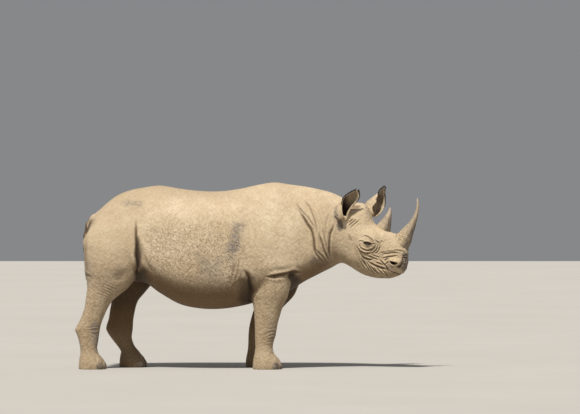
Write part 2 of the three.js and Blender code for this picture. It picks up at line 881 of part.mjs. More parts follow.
// Ear: a leaf-shaped wall rolled round its length, open on one side and solid at the root.
function makeEar(ear) {
  const rows = ear.leaf.length - 1;
  const columns = 8;
  const wallPoint = (i, j, inner) => {
    const row = ear.leaf[i];
    const [turn, gap] = row.slice(5);
    const degrees = turn + gap + (j / columns) * (360 - 2 * gap);
    const wall = EAR_WALL[0] + (EAR_WALL[1] - EAR_WALL[0]) * (i / rows);
    const hollow = inner ? clamp(0.1 + 0.4 * i, 0, 1) : 1;
    return earPoint(ear, row, degrees, inner ? -wall / 2 : wall / 2, hollow, inner && i === rows ? -1 : 0);
  };
  const points = [];
  for (const inner of [false, true]) {
    for (let i = 0; i <= rows; i += 1) {
      for (let j = 0; j <= columns; j += 1) points.push(wallPoint(i, j, inner));
    }
  }
  const at = (i, j, layer) => layer * (rows + 1) * (columns + 1) + i * (columns + 1) + j;
  const index = [];
  const quad = (a, b, c, d) => index.push(a, b, c, a, c, d);
  for (let i = 0; i < rows; i += 1) {
    for (let j = 0; j < columns; j += 1) {
      quad(at(i, j, 0), at(i, j + 1, 0), at(i + 1, j + 1, 0), at(i + 1, j, 0));
      quad(at(i, j, 1), at(i + 1, j, 1), at(i + 1, j + 1, 1), at(i, j + 1, 1));
    }
    quad(at(i, 0, 0), at(i + 1, 0, 0), at(i + 1, 0, 1), at(i, 0, 1));
    quad(at(i, columns, 0), at(i, columns, 1), at(i + 1, columns, 1), at(i + 1, columns, 0));
  }
  for (let j = 0; j < columns; j += 1) {
    quad(at(0, j, 0), at(0, j, 1), at(0, j + 1, 1), at(0, j + 1, 0));
    quad(at(rows, j, 0), at(rows, j + 1, 0), at(rows, j + 1, 1), at(rows, j, 1));
  }
  const geometry = new THREE.BufferGeometry().setFromPoints(points);
  geometry.setIndex(index);
  return solidOf(geometry);
}

function roundedTube(table, sides, grow = 0) {
  const centres = table.map(([x, y, z]) => new THREE.Vector3(x, y, z));
  const curve = new THREE.CatmullRomCurve3(centres, false, "centripetal");
  const steps = table.length + 2;
  const rings = steps + 2;
  return solidOf(
    closedSurface(rings, sides, (i, j) => {
      const t = clamp((i - 1) / steps, 0, 1);
      const centre = curve.getPoint(t);
      const tangent = curve.getTangent(t);
      const across = new THREE.Vector3(0, 1, 0);
      const lifted = new THREE.Vector3().crossVectors(tangent, across).normalize();
      if (i === 0) return centre.addScaledVector(tangent, -grow);
      if (i === rings) return centre.addScaledVector(tangent, grow);
      const place = t * (table.length - 1);
      const row = Math.min(Math.floor(place), table.length - 2);
      const radius = table[row][3] + (table[row + 1][3] - table[row][3]) * (place - row) + grow;
      const turn = (j / sides) * 2 * Math.PI;
      if (i === 1) centre.addScaledVector(tangent, -grow);
      return centre
        .addScaledVector(across, Math.cos(turn) * radius)
        .addScaledVector(lifted, Math.sin(turn) * radius);
    }),
  );
}

function makeTail(grow = 0) {
  return roundedTube(TAIL, 8, grow);
}

function skin(colour) {
  return new THREE.MeshStandardMaterial({ color: colour, roughness: 0.9, metalness: 0 });
}

function hornMaterial() {
  return new THREE.MeshStandardMaterial({ color: 0xb9a68a, roughness: 0.6, metalness: 0 });
}

function nailMaterial() {
  return new THREE.MeshStandardMaterial({ color: 0x7d7263, roughness: 0.65, metalness: 0 });
}

function eyeMaterial() {
  return new THREE.MeshStandardMaterial({ color: 0x1b120c, roughness: 0.12, metalness: 0 });
}

function hairMaterial() {
  return new THREE.MeshStandardMaterial({ color: 0x2a221c, roughness: 0.8, metalness: 0 });
}

const group = new THREE.Group();
group.name = "black_rhinoceros";

function addNode(name, solid, material) {
  const mesh = new THREE.Mesh(geometryOf(solid), material);
  mesh.name = name;
  group.add(mesh);
}

const body = makeBody();
addNode("trunk", makeTrunk(body), skin(0xc8b08a));

let skull = makeSkull().intersect(beyondPlane(THROAT, headPlaneNormal(), GAP));
skull = skull.subtract(makeHorn(FRONT_HORN, 10, GAP));
skull = skull.subtract(makeHorn(REAR_HORN, 10, GAP));
for (const side of [-1, 1]) {
  skull = skull.subtract(makeEye(side, GAP));
  skull = skull.subtract(nostrilHollow(side));
}
let neck = makeNeck(body);
for (const ear of [RIGHT_EAR, LEFT_EAR]) {
  skull = skull.subtract(earSeat(ear));
  neck = neck.subtract(earSeat(ear));
}
addNode("neck", neck, skin(0xc8b08a));
addNode("head", skull.subtract(jawBlock(0)), skin(0xc8b08a));
addNode("lower_jaw", skull.intersect(jawBlock(GAP * 2)), skin(0xb59c78));

addNode("front_horn", makeHorn(FRONT_HORN, 10), hornMaterial());
addNode("rear_horn", makeHorn(REAR_HORN, 10), hornMaterial());
addNode("eye_right", makeEye(1), eyeMaterial());
addNode("eye_left", makeEye(-1), eyeMaterial());
addNode("ear_right", makeEar(RIGHT_EAR), skin(0xb8a384));
addNode("ear_left", makeEar(LEFT_EAR), skin(0xb8a384));

for (const name of Object.keys(LEGS)) {
  addNode(name + "_leg", makeLeg(name), skin(0xb7a280));
  addNode(name + "_foot", makeFoot(LEGS[name]), skin(0xa8957a));
  for (const number of [0, 1, 2]) {
    addNode(name + "_nail_" + (number + 1), makeNail(LEGS[name], number), nailMaterial());
  }
}

addNode("tail", makeTail(), skin(0xa8957a));
addNode("tail_tuft", roundedTube(TAIL_TUFT, 6), hairMaterial());

export default group;
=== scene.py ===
import math

import bmesh
import bpy
import numpy as np
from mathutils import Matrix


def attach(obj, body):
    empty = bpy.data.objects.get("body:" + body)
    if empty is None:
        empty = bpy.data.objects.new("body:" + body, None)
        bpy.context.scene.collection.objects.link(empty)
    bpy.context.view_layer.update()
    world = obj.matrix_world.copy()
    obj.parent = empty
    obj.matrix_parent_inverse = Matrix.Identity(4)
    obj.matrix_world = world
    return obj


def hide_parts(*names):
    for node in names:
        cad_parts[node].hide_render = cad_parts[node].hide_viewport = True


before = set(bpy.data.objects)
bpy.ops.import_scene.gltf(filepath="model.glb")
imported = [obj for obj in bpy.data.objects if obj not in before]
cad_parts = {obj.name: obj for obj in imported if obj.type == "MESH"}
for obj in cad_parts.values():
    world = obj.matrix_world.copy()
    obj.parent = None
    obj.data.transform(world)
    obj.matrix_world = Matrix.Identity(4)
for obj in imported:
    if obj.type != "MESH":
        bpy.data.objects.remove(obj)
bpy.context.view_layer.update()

import openvdb
from mathutils import Matrix, Vector

MM = 0.001

# ---------------------------------------------------------------- form of the animal, in millimetres
# Trunk and neck by stations: x, top, underside, half width, height of the widest level, sideways shift.
TRUNK = [
    (-1338, 1185, 950, 90, 1070, 0),
    (-1300, 1256, 880, 170, 1065, 0),
    (-1240, 1328, 810, 240, 1055, 0),
    (-1113, 1436, 755, 298, 1045, 0),
    (-1000, 1488, 735, 328, 1015, 0),
    (-860, 1517, 718, 356, 965, 0),
    (-735, 1532, 632, 385, 925, 0),
    (-567, 1506, 538, 406, 890, 0),
    (-399, 1487, 501, 419, 870, 0),
    (-231, 1484, 497, 420, 865, 0),
    (-63, 1505, 520, 407, 870, 0),
    (105, 1541, 563, 378, 890, 0),
    (231, 1558, 600, 352, 915, 0),
    (357, 1541, 652, 324, 950, 0),
    (483, 1524, 730, 288, 1000, -8),
    (609, 1499, 796, 248, 1080, -30),
    (735, 1462, 862, 192, 1140, -62),
    (860, 1388, 955, 148, 1155, -98),
    (960, 1290, 1030, 100, 1150, -125),
]
# Legs by level: z, centre x, half length, centre |y|, half width.
HIND_RIGHT = [
    (1300, -1090, 80, 130, 40),
    (1190, -1125, 170, 178, 104),
    (1075, -1146, 222, 205, 127),
    (991, -1140, 222, 207, 146),
    (890, -1139, 220, 203, 158),
    (806, -1141, 213, 198, 150),
    (764, -1141, 203, 195, 142),
    (722, -1150, 189, 193, 132),
    (672, -1170, 168, 191, 118),
    (622, -1205, 139, 190, 104),
    (571, -1238, 113, 190, 93),
    (512, -1262, 98, 190, 84),
    (462, -1282, 95, 190, 79),
    (403, -1305, 95, 190, 76),
    (353, -1327, 101, 190, 75),
    (328, -1335, 104, 190, 74),
    (294, -1331, 94, 190, 73),
    (235, -1326, 81, 190, 71),
    (176, -1325, 71, 190, 70),
    (130, -1318, 76, 190, 77),
]
HIND_LEFT = [
    (1300, -1090, 80, 130, 40),
    (1190, -1125, 170, 178, 104),
    (1075, -1143, 222, 205, 127),
    (991, -1121, 226, 207, 146),
    (890, -1077, 229, 203, 158),
    (806, -1033, 213, 198, 150),
    (764, -1006, 199, 195, 142),
    (701, -978, 166, 193, 128),
    (655, -993, 147, 191, 115),
    (605, -1016, 128, 190, 101),
    (571, -1032, 115, 190, 93),
    (529, -1045, 108, 190, 86),
    (479, -1056, 106, 190, 80),
    (403, -1069, 105, 190, 76),
    (353, -1079, 111, 190, 75),
    (319, -1082, 112, 190, 74),
    (286, -1077, 102, 190, 73),
    (252, -1067, 89, 190, 72),
    (210, -1046, 78, 190, 71),
    (172, -1022, 72, 190, 71),
    (130, -992, 77, 190, 77),
]
FORE_RIGHT = [
    (1040, 200, 120, 225, 85),
    (900, 196, 165, 222, 112),
    (764, 190, 170, 215, 118),
    (722, 194, 165, 212, 116),
    (655, 191, 159, 207, 110),
    (605, 184, 153, 203, 104),
    (571, 182, 141, 201, 99),
    (504, 172, 119, 199, 91),
    (445, 166, 107, 198, 85),
    (386, 159, 97, 198, 80),
    (311, 153, 89, 198, 77),
    (277, 150, 86, 198, 77),
    (235, 144, 78, 198, 75),
    (176, 140, 73, 198, 74),
    (130, 143, 82, 198, 82),
]
FORE_LEFT = [
    (1040, 210, 120, 225, 85),
    (900, 235, 162, 222, 112),
    (764, 268, 166, 215, 118),
    (706, 275, 160, 212, 116),
    (655, 260, 156, 207, 110),
    (613, 246, 151, 203, 104),
    (571, 223, 141, 201, 99),
    (521, 190, 124, 199, 91),
    (470, 158, 111, 198, 86),
    (403, 126, 99, 198, 80),
    (336, 103, 90, 198, 77),
    (277, 92, 85, 198, 77),
    (218, 82, 77, 198, 75),
    (168, 76, 73, 198, 74),
    (130, 80, 82, 198, 82),
]
# Feet: half length and half width on the ground, reach of the sole ahead of the ankle.
HIND_FOOT = (110, 103, 20)
FORE_FOOT = (117, 110, 20)
# Foot's growth from ankle to sole by height.
FOOT_SWELL = [(112, 0.24), (88, 0.58), (60, 0.86), (34, 1.0), (14, 0.99), (4, 0.95), (0, 0.9)]

# Head's frame: place of its origin, turn to the right and bend down.
HEAD_ORIGIN = np.array([1003.0, -125.0, 1054.0])
HEAD_TURN = math.radians(18)
HEAD_BEND = math.radians(37.3)
# Head by stations: distance forward, top, underside, half width, height of the widest level.
HEAD = [
    (-330, 160, -150, 80, 10),
    (-283, 205, -215, 104, 5),
    (-233, 238, -248, 120, 0),
    (-182, 240, -248, 132, 0),
    (-120, 202, -252, 142, 2),
    (-60, 168, -247, 148, 5),
    (0, 166, -244, 146, 8),
    (50, 180, -243, 138, 10),
    (100, 193, -237, 124, 8),
    (150, 206, -226, 110, 2),
    (200, 204, -206, 99, 0),
    (250, 190, -180, 92, 0),
    (300, 166, -144, 88, 5),
    (340, 128, -112, 80, 10),
    (368, 97, -72, 66, 12),
    (384, 72, -44, 48, 14),
    (393, 48, -14, 28, 16),
]
# Soft forms on the head: forward, up, out, three radii in the same order, blend.
HEAD_FORMS = [
    (34, 66, 104, 66, 42, 40, 45),
    (-20, -8, 98, 120, 50, 42, 60),
    (-70, -122, 66, 120, 112, 56, 60),
    (296, 18, 62, 58, 50, 34, 35),
    (342, 4, 0, 54, 56, 56, 36),
    (222, 116, 0, 114, 82, 86, 40),
]
# Squareness of a section: 2 is an ellipse, more is squarer. Upper and lower half.
TRUNK_SQUARE = (2.0, 2.25)
HEAD_SQUARE = (2.35, 2.2)
LEG_SQUARE = 2.25
# Widths over which one form rounds into the next.
NECK_BLEND = 56
TAIL_BLEND = 30
TAIL_JOINT_BLEND = 12
EAR_BLEND = 22
EAR_ROOT_BLEND = 16
LID_BLEND = 16
EYE = (39, 29, 136)
EYE_RADIUS = 24
CORNEA = 1.6
LID_THICKNESS = 5
# Slit between the lids: direction forward and up, half its length, half its height above and below.
SLIT = (0.88, 0.475)
SLIT_HALF = 29
SLIT_RISE = 10
SLIT_FALL = 9.5
# Nostril: place forward and up, tilt in radians, bow, and the radii of its rim and its hole.
NOSTRIL = (313, 26)
NOSTRIL_TILT = 0.4
NOSTRIL_BOW = 0.006
NOSTRIL_RIM = (46, 30, 26)
NOSTRIL_HOLE = (37, 14, 46)
# Mouth: how far back it starts, its depth, half its gap, and its line from the corner to the lip.
MOUTH_START = 186
MOUTH_DEPTH = 20
MOUTH_GAP = 2.2
MOUTH = [(188, -80), (230, -68), (262, -56), (292, -50), (328, -46), (362, -36), (396, -26), (430, -18)]
# Horns by stations: distance forward and up, half length, half width.
FRONT_HORN = [
    (226, 150, 94, 70),
    (228, 182, 92, 68),
    (233, 214, 72, 58),
    (229, 252, 60, 50),
    (224, 296, 49, 42),
    (221, 340, 38, 34),
    (214, 382, 28, 26),
    (202, 428, 20, 19),
    (184, 476, 14, 13),
    (161, 517, 10.5, 10),
    (137, 546, 8, 7.5),
    (122, 561, 3.5, 3.5),
]
REAR_HORN = [
    (42, 130, 68, 52),
    (42, 168, 67, 51),
    (36, 200, 58, 45),
    (28, 235, 46, 37),
    (19, 270, 34, 29),
    (8, 305, 23, 20),
    (-6, 335, 12, 11),
    (-18, 356, 4, 4),
]
# Ears: seat in the head frame, lengthwise and opening directions in the body's frame, fleshy root by
# two rows (along, across, toward the opening, radius), and the leaf by stations: along, across, toward
# the opening, half width, half depth, turn of the opening and half its width in degrees.
RIGHT_EAR = {
    "seat": (-243, 80, 138),
    "along": (0.36, -0.3, 0.88),
    "open": (0.5, -0.866, 0),
    "root": [(-45, -17, 0, 44), (40, -53, 0, 50)],
    "leaf": [
        (0, -52, 0, 44, 60, 28, 8),
        (28, -54, 0, 46, 66, 24, 38),
        (62, -54, 0, 46, 65, 13, 57),
        (98, -47, 2, 47, 56, 2, 73),
        (135, -38, 4, 54, 42, -6, 90),
        (168, -28, 6, 62, 34, -3, 100),
        (196, -18, 5, 59, 25, 0, 104),
        (222, -8, 1, 43, 16, 0, 105),
        (242, -2, -4, 23, 8, 0, 105),
        (256, 2, -7, 5, 3, 0, 105),
    ],
}
LEFT_EAR = {
    "seat": (-178, 189, -116),
    "along": (0.565, 0.1, 0.82),
    "open": (0.883, -0.47, 0),
    "root": [(-40, 0, 0, 60), (60, 0, -8, 50)],
    "leaf": [
        (0, 0, 14, 52, 70, -6, 22),
        (36, 0, 22, 54, 75, -26, 46),
        (66, 0, 24, 56, 76, -24, 52),
        (96, 0, 26, 57, 69, -20, 54),
        (125, 0, 26, 58, 55, -16, 60),
        (152, 0, 22, 57, 36, -12, 66),
        (178, 0, 16, 51, 18, -14, 86),
        (202, 0, 7, 40, 9, -6, 98),
        (228, 0, 0, 20, 4, 0, 100),
        (249, 0, -4, 4, 2, 0, 100),
    ],
}
# Tail by its centre line: x, y, z, radius.
TAIL = [
    (-1225, 0, 1272, 44),
    (-1280, 0, 1250, 40),
    (-1324, 2, 1196, 34),
    (-1348, 4, 1110, 28),
    (-1354, 6, 1010, 24),
    (-1350, 8, 920, 20),
    (-1345, 9, 850, 17),
]
TAIL_TIP = (-1325, 13, 700)
# Nails: turns round the foot, half width of the middle one and of the outer ones, half thickness, half
# height, height of the middle, how deep they sit.
NAIL_TURNS = (-0.86, 0.0, 0.86)
NAIL_WIDTHS = (35, 41, 35)
NAIL_THICKNESS = 17
NAIL_HEIGHT = 31
NAIL_LEVEL = 34
NAIL_SEAT = 6
FOOT_LEVEL = 30.0


# ---------------------------------------------------------------- small helpers
def smooth(t):
    t = np.clip(t, 0, 1)
    return t * t * (3 - 2 * t)


def ramp(t, start, end):
    """Smooth step from 0 at start to 1 at end, which may be the lower of the two."""
    return smooth((t - start) / (end - start))


def hill(t, centre, reach):
    """Round bump, 1 at its centre."""
    return np.exp(-(((t - centre) / reach) ** 2))


def blend(a, b, k):
    """Smallest of two distances, rounded over a width k."""
    h = np.maximum(k - np.abs(a - b), 0) / k
    return np.minimum(a, b) - h * h * k * 0.25


def dig(a, b, k):
    """Distance a with the inside of b taken away, rounded over a width k."""
    return -blend(-a, b, k)


def dense_rows(table):
    """Station table on a smooth curve, one row a millimetre."""
    t = np.array(table, float)
    if t[0, 0] > t[-1, 0]:
        t = t[::-1]
    s = np.arange(t[0, 0], t[-1, 0] + 0.5, 1.0)
    i = np.clip(np.searchsorted(t[:, 0], s, side="right") - 1, 0, len(t) - 2)
    before = t[np.maximum(i - 1, 0)]
    a = t[i]
    b = t[i + 1]
    after = t[np.minimum(i + 2, len(t) - 1)]
    span = (b[:, :1] - a[:, :1])
    u = (s[:, None] - a[:, :1]) / span
    slope_a = (b - before) / (b[:, :1] - before[:, :1]) * span
    slope_b = (after - a) / (after[:, :1] - a[:, :1]) * span
    u2 = u * u
    u3 = u2 * u
    start = (2 * u3 - 3 * u2 + 1) * a + (u3 - 2 * u2 + u) * slope_a
    return start + (3 * u2 - 2 * u3) * b + (u3 - u2) * slope_b


def look_up(rows, t):
    """Every column but the first of dense rows at t."""
    place = np.clip(t - rows[0, 0], 0, len(rows) - 1.001)
    i = place.astype(np.int32)
    f = (place - i)[:, None]
    found = rows[i, 1:] * (1 - f) + rows[i + 1, 1:] * f
    return found.T


def oval(p, q, a, b, power):
    """Distance to a squared oval, close to true near it."""
    r = (np.abs(p / a) ** power + np.abs(q / b) ** power) ** (1 / power)
    return np.hypot(p, q) * (1 - 1 / np.maximum(r, 1e-5))


def capped(d, rows, t):
    """Distance to a form closed off at its first and last station."""
    past = np.maximum(rows[0, 0] - t, t - rows[-1, 0])
    outside = np.where(d > 0, np.hypot(d, past), np.maximum(d, past))
    return np.where(past > 0, outside, d)


def lump(x, y, z, radii):
    """Distance to an ellipsoid, close to true near its surface."""
    rx, ry, rz = radii
    k0 = np.sqrt((x / rx) ** 2 + (y / ry) ** 2 + (z / rz) ** 2)
    k1 = np.sqrt((x / rx**2) ** 2 + (y / ry**2) ** 2 + (z / rz**2) ** 2)
    return k0 * (k0 - 1) / np.maximum(k1, 1e-6)


def cone(p, a, b, ra, rb):
    """Distance to a round bar from a to b whose radius changes from ra to rb."""
    a = np.asarray(a, float)
    axis = np.asarray(b, float) - a
    t = np.clip(((p - a) @ axis) / (axis @ axis), 0, 1)
    away = p - a - t[:, None] * axis
    return np.sqrt((away**2).sum(1)) - ra - (rb - ra) * t


def with_foot(table, foot):
    """Stations of a leg with those of its foot."""
    length, width, ahead = foot
    _, x, half, y, wide = table[-1]
    rows = []
    for z, share in FOOT_SWELL:
        reach = half + (length - half) * share
        rows.append((z, x + ahead * share, reach, y, wide + (width - wide) * share))
    return table + rows


TRUNK_ROWS = dense_rows(TRUNK)
HEAD_ROWS = dense_rows(HEAD)
LEGS = {
    "hind_right": (with_foot(HIND_RIGHT, HIND_FOOT), -1),
    "hind_left": (with_foot(HIND_LEFT, HIND_FOOT), 1),
    "fore_right": (with_foot(FORE_RIGHT, FORE_FOOT), -1),
    "fore_left": (with_foot(FORE_LEFT, FORE_FOOT), 1),
}
LEG_ROWS = {name: (dense_rows(table), side) for name, (table, side) in LEGS.items()}

turn = Matrix.Rotation(-HEAD_TURN, 3, "Z") @ Matrix.Rotation(HEAD_BEND, 3, "Y")
HEAD_AXES = np.array(turn)


def head_point(ahead, up, out=0.0):
    return HEAD_ORIGIN + HEAD_AXES @ np.array([ahead, -out, up], float)


def to_head(p):
    """Points in the head's frame: forward, out to the right, up."""
    q = (p - HEAD_ORIGIN) @ HEAD_AXES
    return q[:, 0], -q[:, 1], q[:, 2]


def unit(v):
    v = np.asarray(v, float)
    return v / np.linalg.norm(v)


def ear_frame(ear):
    along = unit(ear["along"])
    opening = np.array(ear["open"], float)
    opening = unit(opening - along * (opening @ along))
    return head_point(*ear["seat"]), along, opening, np.cross(along, opening)


EARS = []
for ear in (RIGHT_EAR, LEFT_EAR):
    EARS.append((ear_frame(ear), dense_rows(ear["leaf"]), ear["root"], ear["leaf"][-1][0]))


# ---------------------------------------------------------------- the body as a field of distances
def near_box(p, low, high):
    low = np.asarray(low, float)
    high = np.asarray(high, float)
    return np.flatnonzero(((p > low) & (p < high)).all(1))


def trunk_field(p):
    top, under, half, wide, side = look_up(TRUNK_ROWS, p[:, 0])
    up = p[:, 2] > wide
    height = np.where(up, top - wide, wide - under)
    d = oval(p[:, 1] - side, p[:, 2] - wide, half, height, np.where(up, *TRUNK_SQUARE))
    return capped(d, TRUNK_ROWS, p[:, 0])


def leg_field(p, rows, side):
    x, length, y, width = look_up(rows, p[:, 2])
    return capped(oval(p[:, 0] - x, p[:, 1] - y * side, length, width, LEG_SQUARE), rows, p[:, 2])


def tail_field(p):
    d = np.full(len(p), 1e3)
    for (ax, ay, az, ra), (bx, by, bz, rb) in zip(TAIL, TAIL[1:]):
        d = blend(d, cone(p, (ax, ay, az), (bx, by, bz), ra, rb), TAIL_JOINT_BLEND)
    return d


def flat_oval(x, y, a, b):
    """Distance to an ellipse, close to true near it however flat it is."""
    k0 = np.sqrt((x / a) ** 2 + (y / b) ** 2)
    k1 = np.sqrt((x / a**2) ** 2 + (y / b**2) ** 2)
    return k0 * (k0 - 1) / np.maximum(k1, 1e-6)


def ear_place(p, ear):
    """Height in an ear, share of its length, distance outside its leaf's middle, way past its rim."""
    (seat, along, opening, across), rows, _, top = ear
    q = p - seat
    h = q @ along
    c = q @ across
    o = q @ opening
    aside, toward, width, depth, turn, gap = look_up(rows, h)
    d = flat_oval(c - aside, o - toward, width, depth)
    next_aside, next_toward, next_width, next_depth, _, _ = look_up(rows, h + 2)
    slope = (flat_oval(c - next_aside, o - next_toward, next_width, next_depth) - d) / 2
    slope = np.where((h > 0) & (h < top - 2), slope, 0)
    d = d / np.sqrt(1 + np.minimum(slope**2, 16))
    x = (c - aside) / width
    y = (o - toward) / depth
    off = np.abs((np.arctan2(x, y) - np.radians(turn) + np.pi) % (2 * np.pi) - np.pi)
    r = np.maximum(np.hypot(x, y), 1e-3)
    run = np.maximum(np.hypot(width * y, depth * x) / r, 6)
    past = (np.radians(gap) - off) * run
    return h, h / top, d, past


def ear_field(p, ear):
    """Rolled leaf with a rounded rim on a fleshy root, and how far a point is from its hollow."""
    (seat, along, opening, across), _, root, top = ear
    h, u, d, past = ear_place(p, ear)
    wall = 9.5 - 4.5 * np.clip(u, 0, 1)
    past_end = np.maximum(np.maximum(-h, h - top), 0)
    leaf = np.sqrt(d**2 + np.maximum(past, 0) ** 2 + past_end**2) - wall / 2
    ends = [seat + along * a + across * b + opening * c for a, b, c, _ in root]
    flesh = cone(p, ends[0], ends[1], root[0][3], root[1][3])
    hollow = np.maximum(d + wall / 2 + 1, 20 - h)
    return blend(leaf, flesh, EAR_ROOT_BLEND), hollow


def head_field(p):
    a, o, up = to_head(p)
    out = np.abs(o)
    top, under, half, wide = look_up(HEAD_ROWS, a)
    above = up > wide
    height = np.where(above, top - wide, wide - under)
    d = capped(oval(o, up - wide, half, height, np.where(above, *HEAD_SQUARE)), HEAD_ROWS, a)
    for fa, fu, fo, ra, ru, ro, k in HEAD_FORMS:
        d = blend(d, lump(a - fa, up - fu, out - fo, (ra, ru, ro)), k)
    return d


def along_slit(ahead, up):
    """Place along the slit between the lids and across it."""
    return ahead * SLIT[0] + up * SLIT[1], -ahead * SLIT[1] + up * SLIT[0]


def mouth_line(a):
    """Height of the mouth at a distance forward."""
    return np.interp(a, [m[0] for m in MOUTH], [m[1] for m in MOUTH])


def head_openings(p, d):
    """Lids over the eyeballs with the slit between them, nostrils, and the line of the mouth."""
    a, o, up = to_head(p)
    out = np.abs(o)
    ea = a - EYE[0]
    eu = up - EYE[1]
    eo = out - EYE[2]
    ball = np.sqrt(ea**2 + eu**2 + eo**2)
    d = blend(d, ball - (EYE_RADIUS + LID_THICKNESS), LID_BLEND)
    t, n = along_slit(ea, eu)
    rise = np.clip(1 - (t / SLIT_HALF) ** 2, 0, 1)
    lids = np.maximum(np.abs(t) - SLIT_HALF, np.maximum(n - SLIT_RISE * rise, -SLIT_FALL * rise - n))
    lids = np.maximum(lids, EYE_RADIUS - 4 - ball)
    d = dig(d, np.maximum(lids, -eo), 3)
    # nostril: a slanting comma with a raised rim over it
    tilt = math.cos(NOSTRIL_TILT), math.sin(NOSTRIL_TILT)
    na = (a - NOSTRIL[0]) * tilt[0] + (up - NOSTRIL[1]) * tilt[1]
    nu = -(a - NOSTRIL[0]) * tilt[1] + (up - NOSTRIL[1]) * tilt[0]
    bend = nu - NOSTRIL_BOW * (na + 8) ** 2
    rim = lump(na, bend - 4, out - 92, NOSTRIL_RIM)
    d = blend(d, rim, 22)
    hole = lump(na + 3, bend, out - 98 + 0.25 * na, NOSTRIL_HOLE)
    d = dig(d, hole, 7)
    # mouth: a thin deep line under an overhanging upper lip
    depth = MOUTH_DEPTH * ramp(a, MOUTH_START - 10, MOUTH_START + 50)
    slot = np.maximum(np.abs(up - mouth_line(a)) - MOUTH_GAP, -d - depth)
    d = dig(d, np.maximum(slot, MOUTH_START - a), 5)
    return d


def leg_blend(p):
    """Width over which a leg rounds into the trunk: small at flank and elbow, wide over the buttock."""
    return 46 + 60 * ramp(p[:, 0], -1130, -1300) - 30 * ramp(p[:, 2], 1050, 850)


def body_field(p):
    """Distance to the whole animal, less than zero inside."""
    d = trunk_field(p)
    for rows, side in LEG_ROWS.values():
        x = np.mean(rows[:, 1])
        i = near_box(p, (x - 460, -430, -60), (x + 460, 430, 1400))
        d[i] = blend(d[i], leg_field(p[i], rows, side), leg_blend(p[i]))
    i = near_box(p, (-1500, -120, 760), (-1150, 120, 1400))
    d[i] = blend(d[i], tail_field(p[i]), TAIL_BLEND)
    i = near_box(p, (560, -600, 500), (1600, 300, 1700))
    if len(i):
        q = p[i]
        e = blend(d[i], head_field(q), NECK_BLEND)
        e = head_openings(q, e)
        for ear in EARS:
            outside, hollow = ear_field(q, ear)
            e = dig(blend(e, outside, EAR_BLEND), hollow, 5)
        d[i] = e
    return d


# ---------------------------------------------------------------- surface of the field
# Sizes of a cell on the body and on the head, and where along the body the two meshes meet.
BODY_CELL = 6.4
HEAD_CELL = 2.8
JOIN = 730.0
# Start of the part of the skin that head details and marks reach.
HEAD_START = 690
# End of the part that body folds and wrinkles reach.
BODY_END = 860


def iso_mesh(low, high, cell):
    """Closed quad surface of the body in a box; only blocks of cells near it are looked at closely."""
    size = 4
    low = np.array(low, float)
    blocks = np.ceil((np.array(high, float) - low) / (cell * size)).astype(int)
    index = np.stack(np.meshgrid(*[np.arange(b) for b in blocks], indexing="ij"), -1).reshape(-1, 3)
    centres = low + (index + 0.5) * size * cell
    far = body_field(centres)
    close = np.abs(far) < size * cell * 2.2 + 14
    values = np.repeat(np.sign(far)[:, None] * 3 * cell, size**3, 1).astype(np.float32)
    inner = np.stack(np.meshgrid(*[np.arange(size)] * 3, indexing="ij"), -1).reshape(-1, 3)
    corners = low + index[close] * size * cell
    found = []
    for chunk in np.array_split(corners, max(1, len(corners) // 6000)):
        points = (chunk[:, None, :] + (inner + 0.5) * cell).reshape(-1, 3)
        found.append(np.clip(body_field(points), -3 * cell, 3 * cell).reshape(-1, size**3))
    values[close] = np.concatenate(found)
    dense = values.reshape(*blocks, size, size, size).transpose(0, 3, 1, 4, 2, 5)
    dense = np.ascontiguousarray(dense.reshape(blocks * size))
    grid = openvdb.FloatGrid(3.0 * cell)
    grid.copyFromArray(dense)
    points, quads = grid.convertToQuads(0.0)
    return low + (points + 0.5) * cell, quads.astype(np.int64)


def kept(points, quads, keep):
    """Mesh of the quads to keep, with unused points dropped."""
    quads = quads[keep]
    used, back = np.unique(quads, return_inverse=True)
    return points[used], back.reshape(quads.shape)


def skin_base():
    """Whole surface: fine for the head, coarser for the body, bridged round the neck."""
    pb, qb = iso_mesh((-1480, -460, -24), (JOIN + 60, 460, 1600), BODY_CELL)
    pb, qb = kept(pb, qb, pb[qb][:, :, 0].mean(1) < JOIN)
    ph, qh = iso_mesh((JOIN - 60, -560, 560), (1480, 140, 1600), HEAD_CELL)
    ph, qh = kept(ph, qh, ph[qh][:, :, 0].mean(1) > JOIN + BODY_CELL * 0.6)
    mesh = bpy.data.meshes.new("skin")
    points = np.concatenate([pb, ph])
    faces = np.concatenate([qb, qh + len(pb)])
    mesh.from_pydata(points.tolist(), [], faces.tolist())
    bm = bmesh.new()
    bm.from_mesh(mesh)
    rim = [e for e in bm.edges if e.is_boundary]
    bmesh.ops.bridge_loops(bm, edges=rim)
    bmesh.ops.recalc_face_normals(bm, faces=bm.faces)
    bm.to_mesh(mesh)
    bm.free()
    return mesh


def positions(mesh):
    p = np.empty(len(mesh.vertices) * 3)
    mesh.vertices.foreach_get("co", p)
    return p.reshape(-1, 3)


def edge_ends(mesh):
    e = np.empty(len(mesh.edges) * 2, np.int64)
    mesh.edges.foreach_get("vertices", e)
    return e.reshape(-1, 2)


def relax(p, edges, rounds, share=0.5):
    """Points moved toward the middle of their neighbours."""
    a, b = edges.T
    count = np.bincount(a, minlength=len(p)) + np.bincount(b, minlength=len(p))
    for _ in range(rounds):
        total = np.stack(
            [
                np.bincount(a, p[b, k], len(p)) + np.bincount(b, p[a, k], len(p))
                for k in range(3)
            ],
            1,
        )
        p = p + share * (total / count[:, None] - p)
    return p


def settle(p, rounds=2):
    """Points moved on to the body's surface."""
    step = 0.6
    for _ in range(rounds):
        d = body_field(p)
        g = np.stack([body_field(p + step * np.eye(3)[k]) - d for k in range(3)], 1) / step
        length = np.maximum((g**2).sum(1), 0.2)
        p = p - g * (np.clip(d, -6, 6) / length)[:, None]
    return p


